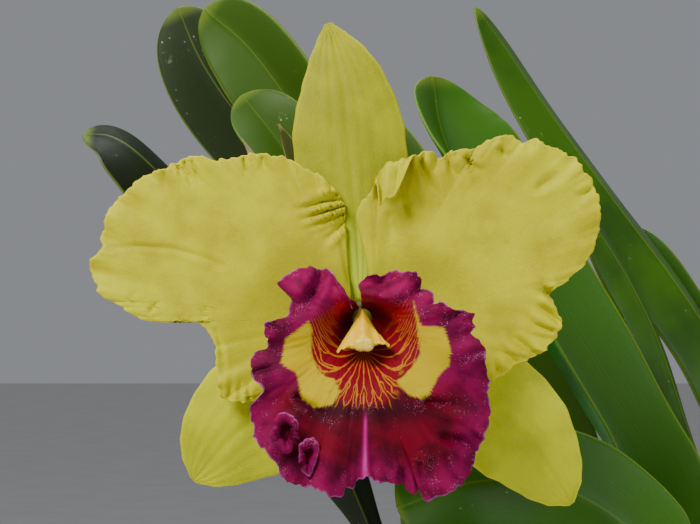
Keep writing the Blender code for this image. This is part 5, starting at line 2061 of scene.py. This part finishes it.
LIP_EYES = (
    (
        (-15.6, -0.6), (-21.9, -5.2), (-23.3, -12.4), (-19, -15.5), (-17, -22.4), (-13.6, -25),
        (-8.4, -24.1), (-6.1, -20.4), (-8.4, -16.7), (-12.1, -15.5), (-14.7, -10.4), (-14.7, -1.8)),
    (
        (14.8, 4.8), (17.1, -1.8), (23.4, -2.3), (25.4, -8.6), (24.8, -13.2), (21.9, -16.1), (19.1, -21.2),
        (16.8, -22.7), (12.8, -21.2), (9.9, -18.4), (10.5, -15.5), (14.2, -13.8), (16.8, -9.5),
        (16.2, -5.8), (15.6, 0)))


def strokes(lines: Sequence[Rows], width: float, lift: float, seed: int) -> list[Stroke]:
    """A stroke along each of several lines, each a little wider or deeper than the next."""
    chance = random.Random(seed)
    return [Stroke(line, width * chance.uniform(0.75, 1.35), lift * chance.uniform(0.5, 1.15))
            for line in lines]


LATERAL_PROFILE = ((0.0, 0.20), (0.12, 0.42), (0.28, 0.78), (0.46, 1.02), (0.59, 1.02), (0.70, 0.93),
                   (0.79, 0.80), (0.88, 0.61), (0.95, 0.38), (0.985, 0.16), (1.0, 0.05))


@dataclass
class Bloom:
    """The stem and the bloom on it."""

    rind: Horn = Horn("stem_rind", "#76861C", "#586C14", "#8E7034")
    # each tissue's rim colour is a painted highlight along the margin; its claw colour is painted light on
    # the dorsal sepal (sepal_upper) and painted shade on the lateral sepals and the petals
    upper: PetalTissue = PetalTissue(
        "sepal_upper", "#9A9A00", "#868A00", "#AEB010", "#D0D070", "#C0DA30", 0.08)
    lower: PetalTissue = PetalTissue(
        "sepal_lower", "#B8BC00", "#A2A600", "#C0C418", "#DADC80", "#98A000", 0.06)
    broad: PetalTissue = PetalTissue(
        "petal_tissue", "#BCB900", "#A69E00", "#C4BE1C", "#DEDA84", rib_tone=0.05)
    # the column's tint is painted shade at its foot and underside
    wax: Horn = Horn("column_wax", "#EFC60A", "#DDB008", "#7E2A10", fibre=26.0, roughness=0.42, glow=0.2)
    pale: Horn = Horn("cap_wax", "#E4CC50", "#D6B030", "#C98A40", fibre=18.0, roughness=0.38, glow=0.2)

    def build(self) -> None:
        """Makes and dresses all of it."""
        dressed(Stem().skin(), "flower_stem", self.rind.material(), "stem")
        self.sepals()
        self.petals()
        self.lip()
        column = Column()
        wax, pale = self.wax.material(), self.pale.material()
        dressed(column.skin(), "column", wax, "column")
        dressed(column.cap(), "anther_cap", pale, "column")

    def sepals(self) -> None:
        """The three sepals."""
        upper, lower = self.upper.material(), self.lower.material()
        middle = Sepal("sepal_dorsal", ((-0.3, 4.95), (-1.5, 28), (-3.5, 50), (-5.6, 70), (-10.1, 88)),
                       17.2, 7)
        left = Sepal("sepal_left", ((-3.5, -3.6), (-14, -13), (-28, -26), (-40, -36.5), (-50.5, -49)),
                     18.4, 9, seed=25, profile=LATERAL_PROFILE)
        right = Sepal("sepal_right", ((3.9, -3.2), (16, -10), (33, -22), (49, -37), (63, -56)), 16.8, 9,
                      seed=29, profile=LATERAL_PROFILE)
        for sepal, tissue in ((middle, upper), (left, lower), (right, lower)):
            dressed(sepal.skin(), sepal.name, tissue, "sepal")

    def petals(self) -> None:
        """The two petals."""
        tissue = self.broad.material()
        left = Petal(
            "petal_left", PETAL_LEFT, (-4.4, 5.0), -1,
            (Ruffle(0.12, 0.12, 21, 0.7), Ruffle(0.45, 0.25, 15, 0.8), Ruffle(0.93, 0.06, 21, 0.8)), (),
            [*strokes(LEFT_PLEATS, 0.75, -1.2, 6), *strokes(LEFT_BUNCH, 0.95, -2.5, 8),
             *strokes(LEFT_LOBE, 0.8, -0.8, 7), Stroke(LEFT_VALLEY, 0.8, -0.45, False)], seed=3)
        right = Petal(
            "petal_right", PETAL_RIGHT, (4.4, 5.0), 1,
            (Ruffle(0.16, 0.10, 15, 1.0), Ruffle(0.42, 0.14, 12, 0.8), Ruffle(0.80, 0.14, 17, 0.9)),
            (Roll(0.085, 0.22, 0.05, 165, 2.4, 9.0),),
            strokes(RIGHT_PLEATS, 1.2, -2.0, 9) + strokes(RIGHT_VALLEYS, 1.6, -1.2, 10), hollow=1.4, seed=13)
        for petal in (left, right):
            dressed(petal.skin(), petal.name, tissue, "petal")

    def lip(self) -> None:
        """The lip with its two curls."""
        marks = [*strokes(LIP_CREASES, 1.3, -2.2, 11), *strokes(LIP_GATHERS, 1.5, -1.1, 12),
                 *(Stroke(line, 2.4, -3.0, False) for line in LIP_HOLLOWS), Stroke(LIP_BROW, 2.0, 3.4, False),
                 Stroke(LIP_VALLEY, 1.5, -3.4, False)]
        lip = Lip(LIP_RIM, LIP_EYES, marks, LIP_RINGS, LIP_THROAT)
        curls = [lip.scroll((-21.8, -31.8, 31.6), 4.1, 1.05, 1.1, 90),
                 lip.scroll((-15.4, -39.0, 31.0), 2.7, 1.8, 5.4, 97)]
        placed(joined([lip.skin(), *curls], "lip_skin"), LipTissue().material(), ["lip"])


def save_size() -> None:
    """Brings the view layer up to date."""
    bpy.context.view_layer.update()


def main() -> None:
    """Builds the dressed plant and the studio round it."""
    logging.basicConfig(level=logging.INFO, format="%(name)s: %(message)s")
    for assembly in (Potting(), Shoots(), Bloom(), Studio()):
        assembly.build()
    save_size()


if __name__ == "__main__":
    main()
